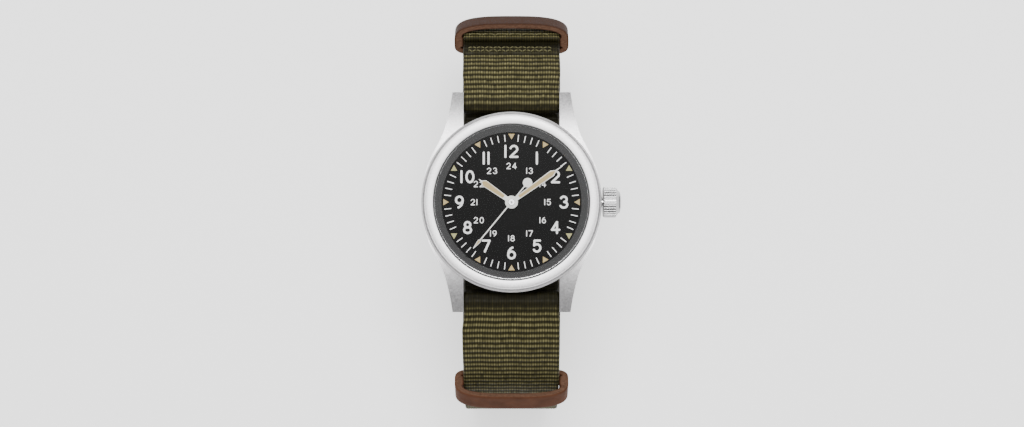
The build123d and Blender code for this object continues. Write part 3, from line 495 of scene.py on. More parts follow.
class Route:
    """The middle of a strap layer, measured along it in millimetres."""

    def __init__(self, stops):
        self.pieces = []          # y, z, heading, start length, length, turn per mm
        headings = []
        for (y0, z0, r0), (y1, z1, r1) in zip(stops, stops[1:]):
            lean = math.asin(max(-1.0, min(1.0, (r1 - r0) / math.hypot(y1 - y0, z1 - z0))))
            headings.append(math.atan2(z1 - z0, y1 - y0) - lean)
        last = self.touch(stops[0], headings[0])
        self.length = 0.0
        for number, heading in enumerate(headings):
            arrive = self.touch(stops[number + 1], heading)
            self.lay(last, heading, math.hypot(arrive[0] - last[0], arrive[1] - last[1]), 0.0)
            last = arrive
            if number + 1 < len(headings):
                radius = stops[number + 1][2]
                turn = (headings[number + 1] - heading) % (2 * math.pi)
                turn -= 2 * math.pi if radius < 0 else 0
                self.lay(arrive, heading, turn * radius, 1 / radius)
                last = self.touch(stops[number + 1], heading + turn)

    @staticmethod
    def touch(stop, heading):
        y, z, radius = stop
        return y + radius * math.sin(heading), z - radius * math.cos(heading)

    def lay(self, start, heading, length, bend):
        self.pieces.append((*start, heading, self.length, length, bend))
        self.length += length

    def at(self, along):
        """Arrays of y, z and heading at these lengths."""
        along = np.asarray(along, float)
        y, z, heading = (np.zeros_like(along) for _ in range(3))
        for y0, z0, h0, start, length, bend in self.pieces:
            here = (along >= start - 1e-9) & (along <= start + length + 1e-9)
            run = along[here] - start
            turned = h0 + bend * run
            if bend:
                y[here] = y0 + (np.sin(turned) - math.sin(h0)) / bend
                z[here] = z0 - (np.cos(turned) - math.cos(h0)) / bend
            else:
                y[here] = y0 + math.cos(h0) * run
                z[here] = z0 + math.sin(h0) * run
            heading[here] = turned
        return y, z, heading

    def nearest(self, spot, low=0.0, high=None):
        """The length at which the route passes closest to a spot."""
        along = np.arange(low, high or self.length, 0.05)
        y, z, _ = self.at(along)
        return float(along[np.argmin((y - spot[0]) ** 2 + (z - spot[1]) ** 2)])


MAIN = Route(MAIN_STOPS)
FLAP = Route(FLAP_STOPS)


# ---------------- webbing
SELVAGE = 0.45                # the flat of each face stops this far short of the strap's edge
SELVAGE_TURNS = (30, 60, 90, 120, 150)
END_MARGIN = 0.05             # rows of points keep this far from a cut end
LUG_EASE = 4.0                # the strap reaches its full width this far beyond the lugs
EDGE_DRIFT = 0.006            # how far it strays sideways from one row to the next
RIB_WANDER, RIB_JITTER = 0.05, 0.03       # how far a rib strays from straight, smoothly and at random
LIFT_JITTER = 0.012
DASH_GAP = 0.12               # painted shade: how pale a rib is between two yarns; on a yarn it is 1
DASH_MEAN, DASH_JITTER = 0.85, 0.22
DASH_LEAST = 0.15             # how pale a yarn stays where the painted shade is deepest
SELVAGE_DASH, SELVAGE_LIFT, SELVAGE_RELIEF = 0.55, 0.6, 0.8
CASE_SHADOW_12 = (19.2, 2.6)     # painted shadow of the case: where the webbing starts to come out of it, over what length
CASE_SHADOW_6 = (20.6, 3.4)
CASE_SHADOW_SHARE = 0.2               # how pale the webbing is left in that painted shadow
HOLE_EDGE = 0.3               # points this far inside a hole are moved out onto its edge

# the sewn seam: places as angles of the 12 o'clock bend, and what is left of the pale ribs
# painted shadow: the first stretch, beside the tail's tip and under the keeper, is painted dark
SHADOW_FROM, SHADOW_TO, SHADOW_SHARE = 33.0, 37.2, 0.15
BAND_FROM, BAND_RISE, BAND_SHARE = 37.3, 0.3, 0.45
GROOVE_AT, GROOVE_DEPTH, GROOVE_HALF = 42.3, 0.32, 0.5
SEAM_ROWS = (38.5, 40.7)
SEAM_PITCH, SEAM_SLANT, SEAM_LIFT = 0.9, 0.2, 0.24


def crest(along, rib):
    """1 on the top of a rib and 0 in the groove beside it."""
    return 0.5 + 0.5 * np.cos(2 * np.pi * along / rib)


class Weave:
    """The section of the webbing: columns across one face, round a selvage, back across the other
    face and round the other selvage."""

    def __init__(self):
        half = STRAP_WIDTH / 2
        face = half - SELVAGE
        across = np.linspace(-face, face, 4 * round(face / YARN) + 1)
        self.count = len(across)                            # columns on each face
        self.second = self.count + len(SELVAGE_TURNS)       # the first column of the second face
        self.behind = self.second + self.count - 1          # the column behind column 0
        places, side, flat = [], [], []
        for facing, columns in ((1.0, across), (-1.0, across[::-1])):
            places += list(columns)
            side += [facing] * self.count
            flat += [1.0] * self.count
            for turn in SELVAGE_TURNS:
                lean = math.radians(turn)
                places.append(facing * (face + (half - face) * math.sin(lean)))
                side.append(facing * math.cos(lean))
                flat.append(0.0)
        self.x, self.side = np.array(places), np.array(side)
        self.flat = np.array(flat)                          # 1 on the faces, 0 round the selvages
        self.total = len(places)
        column = np.arange(self.total)
        yarn = np.where(column >= self.second, self.behind - column, 0)
        self.on_yarn = (np.where(column < self.count, column, yarn) % 2).astype(float)


WEAVE = Weave()


def strap_rows(start, end, rib):
    """Lengths of the rows of points: both ends, and a fixed number to a rib between them."""
    step = rib / ROWS_PER_RIB
    rows = np.arange(math.ceil(start / step), math.floor(end / step) + 1) * step
    between = rows[(rows > start + END_MARGIN) & (rows < end - END_MARGIN)]
    return np.unique(np.concatenate([[start], between, [end]]))


def dash_share(rows, y, dims, between_lugs):
    """How pale the ribs are along a piece: painted shadow of the case darkens them between the lugs, and
    the dims darken stretches at the seam.
    """
    share = np.ones(len(rows))
    if between_lugs:
        # painted shadow of the case on the webbing between the lugs
        beyond_12 = (y - CASE_SHADOW_12[0]) / CASE_SHADOW_12[1]
        beyond_6 = (-y - CASE_SHADOW_6[0]) / CASE_SHADOW_6[1]
        share = CASE_SHADOW_SHARE + (1 - CASE_SHADOW_SHARE) * np.clip(np.where(y > 0, beyond_12, beyond_6), 0, 1)
    for start, end, left in dims:
        share = np.where((rows > start) & (rows < end), np.minimum(share, left), share)
    return share


def open_holes(x, along, holes):
    """Moves points just inside a round-ended hole out onto its edge, and marks all points inside."""
    flat = np.repeat(WEAVE.flat[None, :], len(x), 0) > 0
    cut = np.zeros(x.shape, bool)
    for middle, wide, long in holes:
        past = np.maximum(np.abs(along - middle) - (long - wide) / 2, 0)
        outside = np.hypot(x, past) - wide / 2
        push = (wide / 2) / np.maximum(np.hypot(x, past), 1e-6)
        near = (outside < 0) & (outside > -HOLE_EDGE) & flat
        reach = np.sign(along - middle) * past
        x = np.where(near, x * push, x)
        along = np.where(near, along - reach + reach * push, along)
        cut |= outside < 0
    return x, along, cut


def hole_walls(missing):
    """Quads through the strap's thickness, round the cells that are missing from both faces."""
    total, behind = WEAVE.total, WEAVE.behind
    walls = []
    for row, col in missing:
        if col >= WEAVE.count - 1:
            continue
        for beside, (r0, c0), (r1, c1) in (
            ((row - 1, col), (row, col), (row, col + 1)),
            ((row + 1, col), (row + 1, col + 1), (row + 1, col)),
            ((row, col - 1), (row + 1, col), (row, col)),
            ((row, col + 1), (row, col + 1), (row + 1, col + 1)),
        ):
            if beside not in missing:
                walls.append([r0 * total + c0, r1 * total + c1,
                              r1 * total + behind - c1, r0 * total + behind - c0])
    return walls


def strap_faces(rows, cut):
    """Quads round the strap, the walls of its holes, and both its ends closed."""
    total, behind = WEAVE.total, WEAVE.behind
    faces, missing = [], set()
    for row in range(rows - 1):
        for col in range(total):
            after = (col + 1) % total
            corners = ((row, col), (row, after), (row + 1, after), (row + 1, col))
            if all(cut[corner] for corner in corners):
                missing.add((row, col))
            else:
                faces.append([r * total + c for r, c in corners])
    faces += hole_walls(missing)
    caps = [(col, col + 1, behind - col - 1, behind - col) for col in range(WEAVE.count - 1)]
    caps += [(0, *range(behind, total)), tuple(range(WEAVE.count - 1, WEAVE.second + 1))]
    for row in (0, rows - 1):
        faces += [[row * total + c for c in cap] for cap in caps]
    return faces


def lay_uv(piece, x, along):
    """UVs in centimetres, across and along the strap."""
    layer = piece.data.uv_layers.new(name="UVMap")
    places = np.stack([x.ravel() / 10, along.ravel() / 10], -1).astype(np.float32)
    corners = np.zeros(len(piece.data.loops), np.int32)
    piece.data.loops.foreach_get("vertex_index", corners)
    layer.data.foreach_set("uv", places[corners].ravel())


def strap_piece(name, node, route, start, end, holes=(), dips=(), dims=(), between_lugs=False,
                rib=RIB, seed=1):
    """Webbing from one length to another of a route, with ribs, yarns and holes.
    holes are (middle, width, length), dips are (place, depth, half length, face), and dims are
    stretches painted darker and flatter in colour, painted shadow among them (start, end, share left)."""
    random = np.random.default_rng(seed)
    rows = strap_rows(start, end, rib)
    y = route.at(rows)[0]
    ribs = np.round(rows / rib).astype(int)
    jitter = random.normal(0, 1, (ribs.max() - ribs.min() + 1, WEAVE.total))[ribs - ribs.min()]
    drift = np.cumsum(random.normal(0, EDGE_DRIFT, len(rows)))
    drift -= np.linspace(drift[0], drift[-1], len(rows))

    along = np.repeat(rows[:, None], WEAVE.total, 1)
    x = np.repeat(WEAVE.x[None, :], len(rows), 0)
    free = np.clip((np.abs(y) - LUG_END) / LUG_EASE, 0, 1) if between_lugs else np.ones(len(rows))
    swell = STRAP_SWELL * free * free * (3 - 2 * free)
    x = x * (1 + swell / (STRAP_WIDTH / 2))[:, None] + (drift * free)[:, None]

    flat, on_yarn = WEAVE.flat > 0, WEAVE.on_yarn[None, :]
    wander = RIB_WANDER * np.sin(WEAVE.x * 0.9 + 1.3)[None, :] + RIB_JITTER * jitter * WEAVE.flat
    high = crest(along + wander, rib)
    lift = -RIB_DEPTH * (1 - high) - YARN_DEPTH * (1 - on_yarn) * high + LIFT_JITTER * jitter
    lift = lift * np.where(flat, 1.0, SELVAGE_LIFT)
    for place, depth, reach, face in dips:
        near = np.clip(1 - np.abs(along - place) / reach, 0, 1)
        lift -= depth * near * near * (3 - 2 * near) * (np.sign(WEAVE.side) == face)

    share = dash_share(rows, y, dims, between_lugs)[:, None]
    # painted shade: relief and dash make the colour dark in the grooves and between yarns and pale on the
    # crests, and the share darkens them further
    relief = high * share * np.where(flat, 1, SELVAGE_RELIEF)
    dash = np.where(on_yarn > 0, 1.0, DASH_GAP) * np.clip(DASH_MEAN + DASH_JITTER * jitter, 0.3, 1.2)
    dash = np.where(flat, dash, SELVAGE_DASH) * (DASH_LEAST + (1 - DASH_LEAST) * share)

    x, along, cut = open_holes(x, along, holes)
    y, z, heading = (part.reshape(x.shape) for part in route.at(along.ravel()))
    offset = WEAVE.side[None, :] * (STRAP_T / 2 + lift * np.abs(WEAVE.side)[None, :])
    points = np.stack([x, y - np.sin(heading) * offset, z + np.cos(heading) * offset], -1)
    piece = add_piece(name, points.reshape(-1, 3), strap_faces(len(rows), cut), MATERIALS["webbing"],
                      "root", "webbing", (node,))
    set_attribute(piece, "relief", np.clip(relief, 0, 1).ravel())
    set_attribute(piece, "dash", np.clip(dash, 0, 1).ravel())
    lay_uv(piece, x, along)
    face_outwards(piece)
    drop_loose(piece)


def drop_loose(piece):
    grid = bmesh.new()
    grid.from_mesh(piece.data)
    loose = [vertex for vertex in grid.verts if not vertex.link_faces]
    bmesh.ops.delete(grid, geom=loose, context="VERTS")
    grid.to_mesh(piece.data)
    grid.free()


def main_at_12(angle):
    """The length at which the main layer passes an angle of the 12 o'clock bend on its way up."""
    return MAIN.nearest(on_12(angle, LOOP_12_R), 90, 200)


def tail_holes():
    """The buckle holes, as lengths along the main route with their width and length."""
    tail_start = MAIN.nearest((TAIL_TURN_Y, TAIL_Z), MAIN.length - 90)
    first = MAIN.nearest((FIRST_HOLE_Y, TAIL_Z), tail_start - 5, tail_start + 5)
    return [(first + HOLE_PITCH * number, HOLE_WIDTH, HOLE_LENGTH) for number in range(8)]


def build_strap():
    fold = MAIN.nearest((HINGE_Y - HINGE_WRAP, HINGE_Z), 0, 70)
    slot = [(fold, TONGUE_SLOT[0], TONGUE_SLOT[1] + TONGUE_SLOT[0])]
    groove = main_at_12(GROOVE_AT)
    band = (main_at_12(BAND_FROM) + groove) / 2
    dips = [(groove, GROOVE_DEPTH, GROOVE_HALF, -1), (band, -BAND_RISE, abs(groove - band), -1)]
    # the first dim is painted shadow beside the tail's tip, under the keeper
    dims = [(main_at_12(SHADOW_FROM), main_at_12(SHADOW_TO), SHADOW_SHARE),
            (main_at_12(SHADOW_TO), groove, BAND_SHARE)]
    under_keeper = MAIN.nearest((KEEPER_BUCKLE_Y, MAIN_Z), fold, fold + 30)
    in_keeper = main_at_12(KEEPER_FREE_ANGLE)
    under_case = MAIN.nearest((10.0, UNDER_Z), 150, 260)
    side_6 = MAIN.nearest((-44.0, 8.0), 240)
    strap_piece("strap_fold", "strap_main", MAIN, 0, under_keeper, slot, seed=3)
    strap_piece("strap_buckle_side", "strap_main", MAIN, under_keeper, in_keeper, seed=9)
    strap_piece("strap_12_side", "strap_main", MAIN, in_keeper, under_case, (), dips, dims, True, seed=8)
    strap_piece("strap_6_side", "strap_main", MAIN, under_case, side_6, between_lugs=True,
                rib=RIB_6, seed=4)
    strap_piece("strap_tail", "strap_main", MAIN, side_6, MAIN.length, tail_holes(), seed=5)
    middle = FLAP.length * 0.5
    strap_piece("flap_12_half", "strap_flap", FLAP, 0, middle, seed=6)
    strap_piece("flap_6_half", "strap_flap", FLAP, middle, FLAP.length, seed=7)


# ---------------- stitches
STITCH_RADIUS = 0.13
STITCH_RISE = 0.16
STITCH_SUNK = 0.12            # how deep its ends go
STITCH_MARGIN = 0.7           # from the strap's edge to the end of a row
STITCH_STRAY = 0.03
STITCH_BED = 0.03             # the row starts this far inside the webbing


def stitch(start, end, out):
    """A thread that comes up out of the webbing and goes back in."""
    sides, steps = 6, 6
    across = (end - start).normalized().cross(out)
    points, faces = [], []
    for step in range(steps + 1):
        share = step / steps
        height = STITCH_RISE * math.sin(math.pi * share) ** 0.5 - STITCH_SUNK
        centre = start.lerp(end, share) + out * height
        for corner in range(sides):
            turn = 2 * math.pi * corner / sides
            points.append(centre + (out * math.cos(turn) + across * math.sin(turn)) * STITCH_RADIUS)
    for step in range(steps):
        for corner in range(sides):
            after = (corner + 1) % sides
            faces.append([step * sides + corner, step * sides + after,
                          (step + 1) * sides + after, (step + 1) * sides + corner])
    faces += [list(range(sides))[::-1], list(range(steps * sides, (steps + 1) * sides))]
    return [tuple(p) for p in points], faces


def stitch_row(route, along, face, pitch, slant=0.0, lift=0.0, seed=1):
    """A row of stitches across the strap; slant makes every other one lean the other way."""
    random = np.random.default_rng(seed)
    half = STRAP_WIDTH / 2 - STITCH_MARGIN
    parts = []
    for number in range(int(2 * half / pitch)):
        x0 = -half + pitch * (number + 0.12)
        x1 = x0 + pitch * 0.8
        lean = slant * (1 if number % 2 else -1)
        ends = []
        for x, length in ((x0, along - lean), (x1, along + lean)):
            spot = route.at([length + random.normal(0, STITCH_STRAY)])
            y, z, heading = (float(part[0]) for part in spot)
            out = Vector((0, -math.sin(heading), math.cos(heading))) * face
            ends.append(Vector((x, y, z)) + out * (STRAP_T / 2 - STITCH_BED + lift))
        parts.append(stitch(*ends, out))
    return gather(parts)


def build_stitches():
    rows = [
        stitch_row(MAIN, main_at_12(SEAM_ROWS[0]), -1, SEAM_PITCH, SEAM_SLANT, SEAM_LIFT, 11),
        stitch_row(MAIN, main_at_12(SEAM_ROWS[1]), -1, SEAM_PITCH, -SEAM_SLANT, SEAM_LIFT, 12),
        stitch_row(MAIN, MAIN.length - 1.35, -1, 1.45, 0.16, seed=13),
        stitch_row(FLAP, 1.0, 1, 1.3, seed=14),
        stitch_row(FLAP, FLAP.length - 2.0, 1, 1.3, seed=15),
        stitch_row(FLAP, FLAP.length - 3.6, 1, 1.3, seed=16),
    ]
    face_outwards(add_piece("strap_stitches", *gather(rows), THREAD_OLIVE, "root", "webbing"))


# ---------------- leather keepers
KEEPER_STEPS = 120
BOWED_POWER, FLAT_POWER = 3.0, 4.6        # how square the corners are on its bowed and flat sides
HIDE_EASE = 0.26                          # radius of its eased edges
HIDE_WAVE = 0.012                         # how far a cut edge strays from one step to the next


def keeper_outline(arch):
    """Outer outline (x, height) of a keeper, its bowed side up, as a closed loop of rounded shape."""
    outline = []
    for turn in np.radians(np.arange(KEEPER_STEPS) * 360 / KEEPER_STEPS):
        across, up = math.cos(turn), math.sin(turn)
        half_high, power = KEEPER_HIGH / 2, FLAT_POWER
        if up > 0:
            half_high, power = KEEPER_HIGH / 2 + arch, BOWED_POWER
        outline.append((KEEPER_WIDE / 2 * math.copysign(abs(across) ** (2 / power), across),
                        half_high * math.copysign(abs(up) ** (2 / power), up)))
    return np.array(outline)


def hide_section():
    """Round the cut section of the hide: (depth below its outer face, place along the strap, how
    much it is a cut edge)."""
    half = KEEPER_LONG / 2
    eased = []
    for turn in (0, 30, 60, 90):
        lean = math.radians(turn)
        place = half - HIDE_EASE + HIDE_EASE * math.sin(lean)
        eased.append((HIDE_EASE * math.cos(lean), place, turn / 90))
    edge = [(HIDE_EASE - height, place, share) for height, place, share in eased]
    edge += [(LEATHER_T * 0.35, half, 1.0), (LEATHER_T * 0.65, half, 1.0)]
    edge += [(LEATHER_T - HIDE_EASE + height, place, share) for height, place, share in eased[::-1]]
    inner = [(LEATHER_T, half * share, 0.0) for share in (0.6, 0.2, -0.2, -0.6)]
    far_edge = [(depth, -place, share) for depth, place, share in edge[::-1]]
    outer = [(0.0, half * share, 0.0) for share in (-0.6, -0.2, 0.2, 0.6)]
    return edge + inner + far_edge + outer


def keeper_piece(name, place, angle, arch, painted_light_tone, seed):
    """A strip of hide bent to a loop, with eased edges, sewn nowhere that shows."""
    random = np.random.default_rng(seed)
    outer = keeper_outline(arch)
    ahead = np.roll(outer, -1, 0) - np.roll(outer, 1, 0)
    ahead /= np.linalg.norm(ahead, axis=1)[:, None]
    outward = np.stack([ahead[:, 1], -ahead[:, 0]], -1)
    wave = np.cumsum(random.normal(0, HIDE_WAVE, len(outer)))
    wave -= np.linspace(wave[0], wave[-1], len(outer))
    section = hide_section()
    y, z = place
    across, up = math.cos(math.radians(angle)), math.sin(math.radians(angle))
    points, cut = [], []
    for (x, h), (nx, nh), shift in zip(outer, outward, wave):
        thick = 1 + KEEPER_SIDE * abs(nx) ** 3
        for depth, along, share in section:
            local_x, local_h = x - nx * depth * thick, h - nh * depth * thick
            run = along + shift * share
            points.append((local_x, y + run * across - local_h * up, z + run * up + local_h * across))
            cut.append(share)
    piece = add_piece(name, points, ring_faces(len(outer), len(section)), MATERIALS["leather"],
                      "root", "leather", (name.replace("_hide", ""),))
    set_attribute(piece, "cut", np.clip(np.array(cut) ** 1.5, 0, 1))
    set_attribute(piece, "painted_light_tone", np.full(len(points), painted_light_tone))
    face_outwards(piece)


def build_keepers():
    free, flap = KEEPER_FREE_ANGLE, KEEPER_FLAP_ANGLE
    # painted shade on the 12 o'clock keeper and painted light on the flap's keeper, by their tone values
    keeper_piece("keeper_free_hide", on_12(free, LOOP_12_R), free - 90, KEEPER_ARCH, 0.1, 21)
    keeper_piece("keeper_flap_hide", on_6(flap, LOOP_6_R), 90 - flap, KEEPER_ARCH, 0.85, 22)
    keeper_piece("keeper_buckle_hide", (KEEPER_BUCKLE_Y, KEEPER_HIGH / 2), 0, 0.0, 0.5, 23)


# ---------------- dial print
def bow(cx, cy, rx, ry, start, end, steps=18):
    """Points of an elliptic arc."""
    turns = np.radians(np.linspace(start, end, steps + 1))
    return [(cx + rx * math.cos(t), cy + ry * math.sin(t)) for t in turns]


def oval(cx, cy, rx, ry):
    """A closed stroke."""
    return bow(cx, cy, rx, ry, 0, 342), True


def line(*points):
    """An open stroke."""
    return list(points), False


# each digit's strokes, in a box from -1 to 1 both ways
DIGITS = {
    "0": [oval(0, 0, 0.92, 1)],
    "1": [line((0, -1), (0, 1))],
    "2": [line(*bow(0, 0.42, 0.9, 0.58, 165, -28), (-0.95, -1)), line((-0.95, -1), (0.95, -1))],
    "3": [line(*bow(0, 0.5, 0.8, 0.5, 155, -80)), line(*bow(0, -0.46, 0.95, 0.54, 80, -155))],
    "4": [line((0.4, -1), (0.4, 1)), line((0.4, 1), (-0.95, -0.42), (1.0, -0.42))],
    "5": [line((0.8, 1), (-0.62, 1), (-0.75, 0.12)), line(*bow(0, -0.33, 0.92, 0.67, 132, -150))],
    "6": [oval(0, -0.38, 0.9, 0.62), line(*bow(0.62, -0.38, 1.52, 1.38, 180, 104, 12))],
    "7": [line((-0.95, 1), (0.95, 1)), line((0.95, 1), (-0.35, -1))],
    "8": [oval(0, 0.5, 0.72, 0.5), oval(0, -0.47, 0.94, 0.53)],
    "9": [oval(0, 0.38, 0.9, 0.62), line(*bow(-0.62, 0.38, 1.52, 1.38, 0, -76, 12))],
}


def distance_to(strokes, x, y):
    """How far each place is from the nearest stroke."""
    nearest = np.full(x.shape, 99.0)
    for stroke in strokes:
        for (x0, y0), (x1, y1) in zip(stroke, stroke[1:]):
            dx, dy = x1 - x0, y1 - y0
            share = np.clip(((x - x0) * dx + (y - y0) * dy) / max(dx * dx + dy * dy, 1e-9), 0, 1)
            nearest = np.minimum(nearest, np.hypot(x - x0 - share * dx, y - y0 - share * dy))
    return nearest


def inked(strokes, width, cell, z0, z1):
    """A flat printed shape: everything within half a stroke's width of the strokes."""
    every = np.concatenate([np.array(stroke) for stroke in strokes])
    low, high = every.min(0) - width, every.max(0) + width
    count = np.ceil((high - low) / cell).astype(int) + 1
    xs, ys = low[0] + cell * np.arange(count[0]), low[1] + cell * np.arange(count[1])
    level = distance_to(strokes, *np.meshgrid(xs, ys, indexing="ij")) - width / 2
    solid = level < 0
    touched = solid[:-1, :-1] | solid[1:, :-1] | solid[1:, 1:] | solid[:-1, 1:]
    spots, found, tops, rims = [], {}, [], []

    def spot(key, place):
        if key not in found:
            found[key] = len(spots)
            spots.append(place)
        return found[key]

    for i, j in zip(*np.nonzero(touched)):
        corners = ((i, j), (i + 1, j), (i + 1, j + 1), (i, j + 1))
        ring = []                 # (point, on the shape's edge or not, leaving the shape there or not)
        for here, there in zip(corners, corners[1:] + corners[:1]):
            if solid[here]:
                ring.append((spot(here, (xs[here[0]], ys[here[1]])), False, False))
            if solid[here] != solid[there]:
                share = level[here] / (level[here] - level[there])
                place = (xs[here[0]] + share * (xs[there[0]] - xs[here[0]]),
                         ys[here[1]] + share * (ys[there[1]] - ys[here[1]]))
                ring.append((spot((min(here, there), max(here, there)), place), True, solid[here]))
        tops.append([index for index, _, _ in ring])
        for (first, edge, leaving), (second, following, _) in zip(ring, ring[1:] + ring[:1]):
            if edge and leaving and following:
                rims.append((first, second))
    total = len(spots)
    points = [(x, y, z) for z in (z0, z1) for x, y in spots]
    faces = [[total + index for index in top] for top in tops] + [top[::-1] for top in tops]
    faces += [[first + total, first, second, second + total] for first, second in rims]
    return points, faces


def number_strokes(text, centre, high, stroke):
    """A number in upright figures about a centre."""
    box_high = high - stroke
    box_wide = 0.68 * box_high
    gap = 0.36 * box_wide + stroke
    widths = [0.0 if digit == "1" else box_wide for digit in text]
    x = centre[0] - (sum(widths) + gap * (len(text) - 1)) / 2
    lines = []
    for digit, width in zip(text, widths):
        middle = x + width / 2
        for marks, closed in DIGITS[digit]:
            placed = [(middle + px * box_wide / 2, centre[1] + py * box_high / 2) for px, py in marks]
            lines.append(placed + placed[:1] if closed else placed)
        x += width + gap
    return inked(lines, stroke, stroke / 8, DIAL_TOP - PRINT_SUNK, DIAL_TOP + PRINT_T)


def clock_place(hours, radius):
    turn = math.radians(30 * hours)
    return radius * math.sin(turn), radius * math.cos(turn)


def turned(outline, angle):
    """An outline drawn along +Y, turned clockwise about the dial's centre."""
    c, s = math.cos(math.radians(angle)), math.sin(math.radians(angle))
    return [(x * c + y * s, -x * s + y * c) for x, y in outline]


def lume_mark(outline, angle, base=DIAL_TOP, high=0.13, ease=0.07):
    """Thick luminous paint inside an outline, with sloping shoulders."""
    middle = np.mean(outline, 0)
    outer = turned(outline, angle)
    inner = turned([tuple(middle + (np.array(p) - middle) * (1 - ease * 2)) for p in outline], angle)
    count = len(outline)
    points = [(x, y, base - PRINT_SUNK) for x, y in outer]
    points += [(x, y, base + high * 0.55) for x, y in outer]
    points += [(x, y, base + high) for x, y in inner]
    faces = [list(range(count))[::-1], list(range(2 * count, 3 * count))]
    for level in (0, count):
        for i in range(count):
            j = (i + 1) % count
            faces.append([level + i, level + j, level + count + j, level + count + i])
    return points, faces


def dial_piece(name, parts, material):
    """Print or paint on the dial, as one piece."""
    face_outwards(add_piece(name, *gather(parts), material, "root", "hand_white", smooth=False))


def build_dial_print():
    hours, days, ticks = [], [], []
    for hour in range(1, 13):
        place = clock_place(hour, HOUR_NUMBER_SIDE_R if hour in (3, 9) else HOUR_NUMBER_R)
        hours.append(number_strokes(str(hour), place, HOUR_NUMBER_HIGH, HOUR_STROKE))
        place = clock_place(hour, DAY_NUMBER_R)
        if 7 < hour < 12:
            place = (place[0] - DAY_NUMBER_SHIFT, place[1])
        days.append(number_strokes(str(hour + 12), place, DAY_NUMBER_HIGH, DAY_STROKE))
    half = TICK_WIDE / 2
    bar = [(-half, TICK_IN), (half, TICK_IN), (half, TICK_OUT), (-half, TICK_OUT)]
    for minute in range(60):
        if minute % 5:
            ticks.append(slab(turned(bar, 6 * minute), DIAL_TOP - PRINT_SUNK, DIAL_TOP + PRINT_T))
    dial_piece("dial_hour_numbers", hours, PRINT_WHITE)
    dial_piece("dial_24_hour_numbers", days, PRINT_WHITE)
    dial_piece("dial_minute_ticks", ticks, PRINT_WHITE)
    triangle = [(0, MARK_IN), (-MARK_WIDE / 2, MARK_OUT), (MARK_WIDE / 2, MARK_OUT)]
    for name, wanted, material in (
        ("dial_markers_cream", (1, 3, 5, 6, 7, 9, 11, 12), LUME_CREAM),
        ("dial_markers_green", (2, 4, 8, 10), LUME_GREEN),
    ):
        dial_piece(name, [lume_mark(triangle, 30 * hour) for hour in wanted], material)


# ---------------- hands and turned rings
# each hand's node, body and angle, and the right side of its paint from the hub outwards
HAND_LUME = (
    ("hour_hand", "hours", HOUR_AT, [(0.36, 2.0), (0.6, 6.85), (0.13, 7.5)]),
    ("minute_hand", "minutes", MINUTE_AT, [(0.31, 1.95), (0.48, 10.35), (0.11, 11.2)]),
    ("seconds_hand", "seconds", SECOND_AT, [(0.2, 10.5), (0.19, 11.0), (0.05, 11.9)]),
)
HAND_LUME_HIGH = 0.06

# turned profiles, as corners (radius, height above the case back)
BEZEL_RING = [
    (16.45, 7.2), (16.17, 7.2), (16.17, 7.02), (18.85, 7.02), (18.85, 7.85), (18.82, 8.05),
    (18.72, 8.26), (18.56, 8.42), (18.34, 8.52), (18.2, 8.55), (18.18, 8.44), (18.1, 8.44),
    (18.08, 8.57), (18.0, 8.6), (16.58, 8.6), (16.48, 8.57), (16.45, 8.5),
]
REHAUT_SLOPE = [(14.75, 5.78), (16.2, 5.78), (16.2, 6.98), (16.15, 6.98), (15.45, 6.6), (14.75, 5.95)]
HAND_BOSS = [
    (0.2, 6.69), (0.68, 6.69), (0.68, 6.76), (0.6, 6.82), (0.42, 6.82), (0.36, 6.87), (0.24, 6.87),
    (0.2, 6.83),
]
BOSS_EYE = [(0.001, 6.73), (0.15, 6.73), (0.15, 6.78), (0.001, 6.78)]


def disc_piece(name, profile, body, material, slot, steps=48, replaces=()):
    """A turned part from its profile, closed on itself."""
    points = []
    for step in range(steps):
        turn = 2 * math.pi * step / steps
        points += [(r * math.cos(turn), r * math.sin(turn), BACK_Z + h) for r, h in profile]
    faces = ring_faces(steps, len(profile))
    piece = add_piece(name, points, faces, material, body, slot, replaces)
    face_outwards(piece)
    smooth_by_angle(piece)


def build_hand_details():
    for node, body, angle, right in HAND_LUME:
        outline = right + [(-x, y) for x, y in reversed(right)]
        paint = lume_mark(outline, angle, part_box(node)[1].z / MM, HAND_LUME_HIGH, 0.0)
        face_outwards(add_piece(node + "_lume", *paint, LUME_CREAM, body, "hand_white", smooth=False))
    disc_piece("seconds_hand_boss", HAND_BOSS, "seconds", MATERIALS["tube_steel"], "tube_steel")
    disc_piece("seconds_hand_eye", BOSS_EYE, "seconds", MATERIALS["gasket"], "gasket", 24)


def build_rings():
    """The bezel with its eased shoulder and the fine turned line in it, and the sloping inner ring."""
    disc_piece("bezel_ring", BEZEL_RING, "root", MATERIALS["case_steel"], "case_steel", 192, ("bezel",))
    disc_piece("rehaut_slope", REHAUT_SLOPE, "root", MATERIALS["rehaut"], "rehaut", 192,
               ("rehaut_ring",))


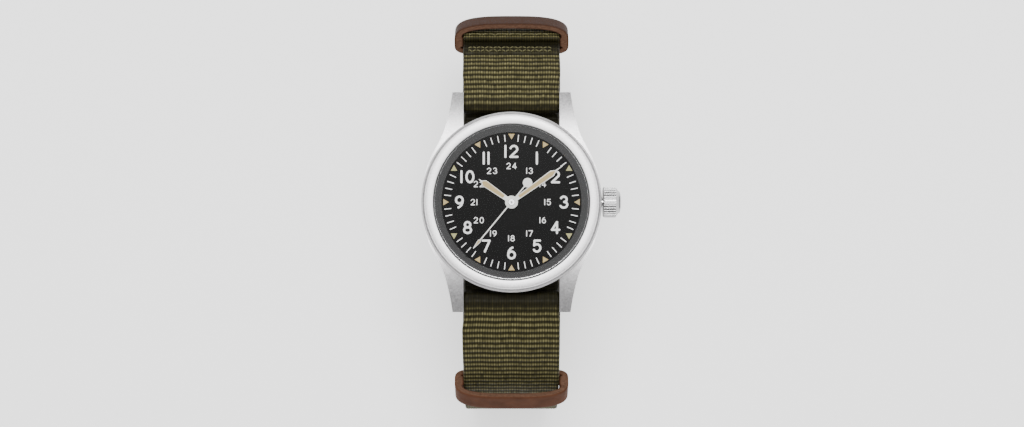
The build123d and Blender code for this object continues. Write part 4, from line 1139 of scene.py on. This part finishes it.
# ---------------- stage, lights and camera, in metres
FLOOR_HALF = 3.0
FLOOR_DROP = 0.0003           # the floor is this far under the strap
PAPER = (0.93, 0.93, 0.93)
PAPER_GLOW = 0.9
WORLD_STRENGTH = 0.38
LIGHTS = (                    # name, place, size, watts
    ("overhead", (0, 0.08, 1.1), (0.8, 0.7), 9.5),
    ("key", (0.02, 0.31, 0.95), (0.4, 0.26), 7.0),
)
LIGHTS_AIM = (0, 0, 0.05)
CASE_HEIGHT = 62.6 * MM
CAMERA_AWAY = 0.4             # from the camera down to the case
CAMERA_X, CAMERA_Y = 0.0001, -0.0024
VIEW_WIDTH = 0.2143           # at the case
SENSOR = 36.0                 # millimetres


def area_light(name, place, size, power):
    data = bpy.data.lights.new(name, "AREA")
    data.shape = "RECTANGLE"
    data.size, data.size_y = size
    data.energy = power
    light = bpy.data.objects.new(name, data)
    light.location = place
    aim = Vector(place) - Vector(LIGHTS_AIM)
    light.rotation_euler = aim.to_track_quat("Z", "Y").to_euler()
    bpy.context.scene.collection.objects.link(light)


def build_stage():
    floor_mesh = bpy.data.meshes.new("floor")
    corners = [(x * FLOOR_HALF, y * FLOOR_HALF, 0) for x, y in ((-1, -1), (1, -1), (1, 1), (-1, 1))]
    floor_mesh.from_pydata(corners, [], [(0, 1, 2, 3)])
    floor = bpy.data.objects.new("floor", floor_mesh)
    floor.location.z = -FLOOR_DROP
    bpy.context.scene.collection.objects.link(floor)
    paper = Look("floor_paper", PAPER, 0.9, Emission_Color=(1, 1, 1, 1), Emission_Strength=PAPER_GLOW)
    grain = paper.noise(2.0, 2.0)
    paper.colour(paper.blend(paper.spread(grain, 0, 1), (0.925, 0.925, 0.925), (0.94, 0.94, 0.94)))
    floor_mesh.materials.append(paper.material)
    world = bpy.data.worlds.new("studio")
    world.use_nodes = True
    background = world.node_tree.nodes["Background"]
    background.inputs[0].default_value = (1, 1, 1, 1)
    background.inputs[1].default_value = WORLD_STRENGTH
    bpy.context.scene.world = world
    for light in LIGHTS:
        area_light(*light)


def build_camera():
    data = bpy.data.cameras.new("camera")
    camera = bpy.data.objects.new("camera", data)
    data.sensor_width = SENSOR
    data.lens = SENSOR * CAMERA_AWAY / VIEW_WIDTH
    data.clip_start, data.clip_end = 0.01, 20
    camera.location = (CAMERA_X, CAMERA_Y, CASE_HEIGHT + CAMERA_AWAY)
    bpy.context.scene.collection.objects.link(camera)
    bpy.context.scene.camera = camera


build_camera()
dress_cad_nodes()
build_strap()
build_stitches()
build_keepers()
build_dial_print()
build_hand_details()
build_rings()
build_stage()
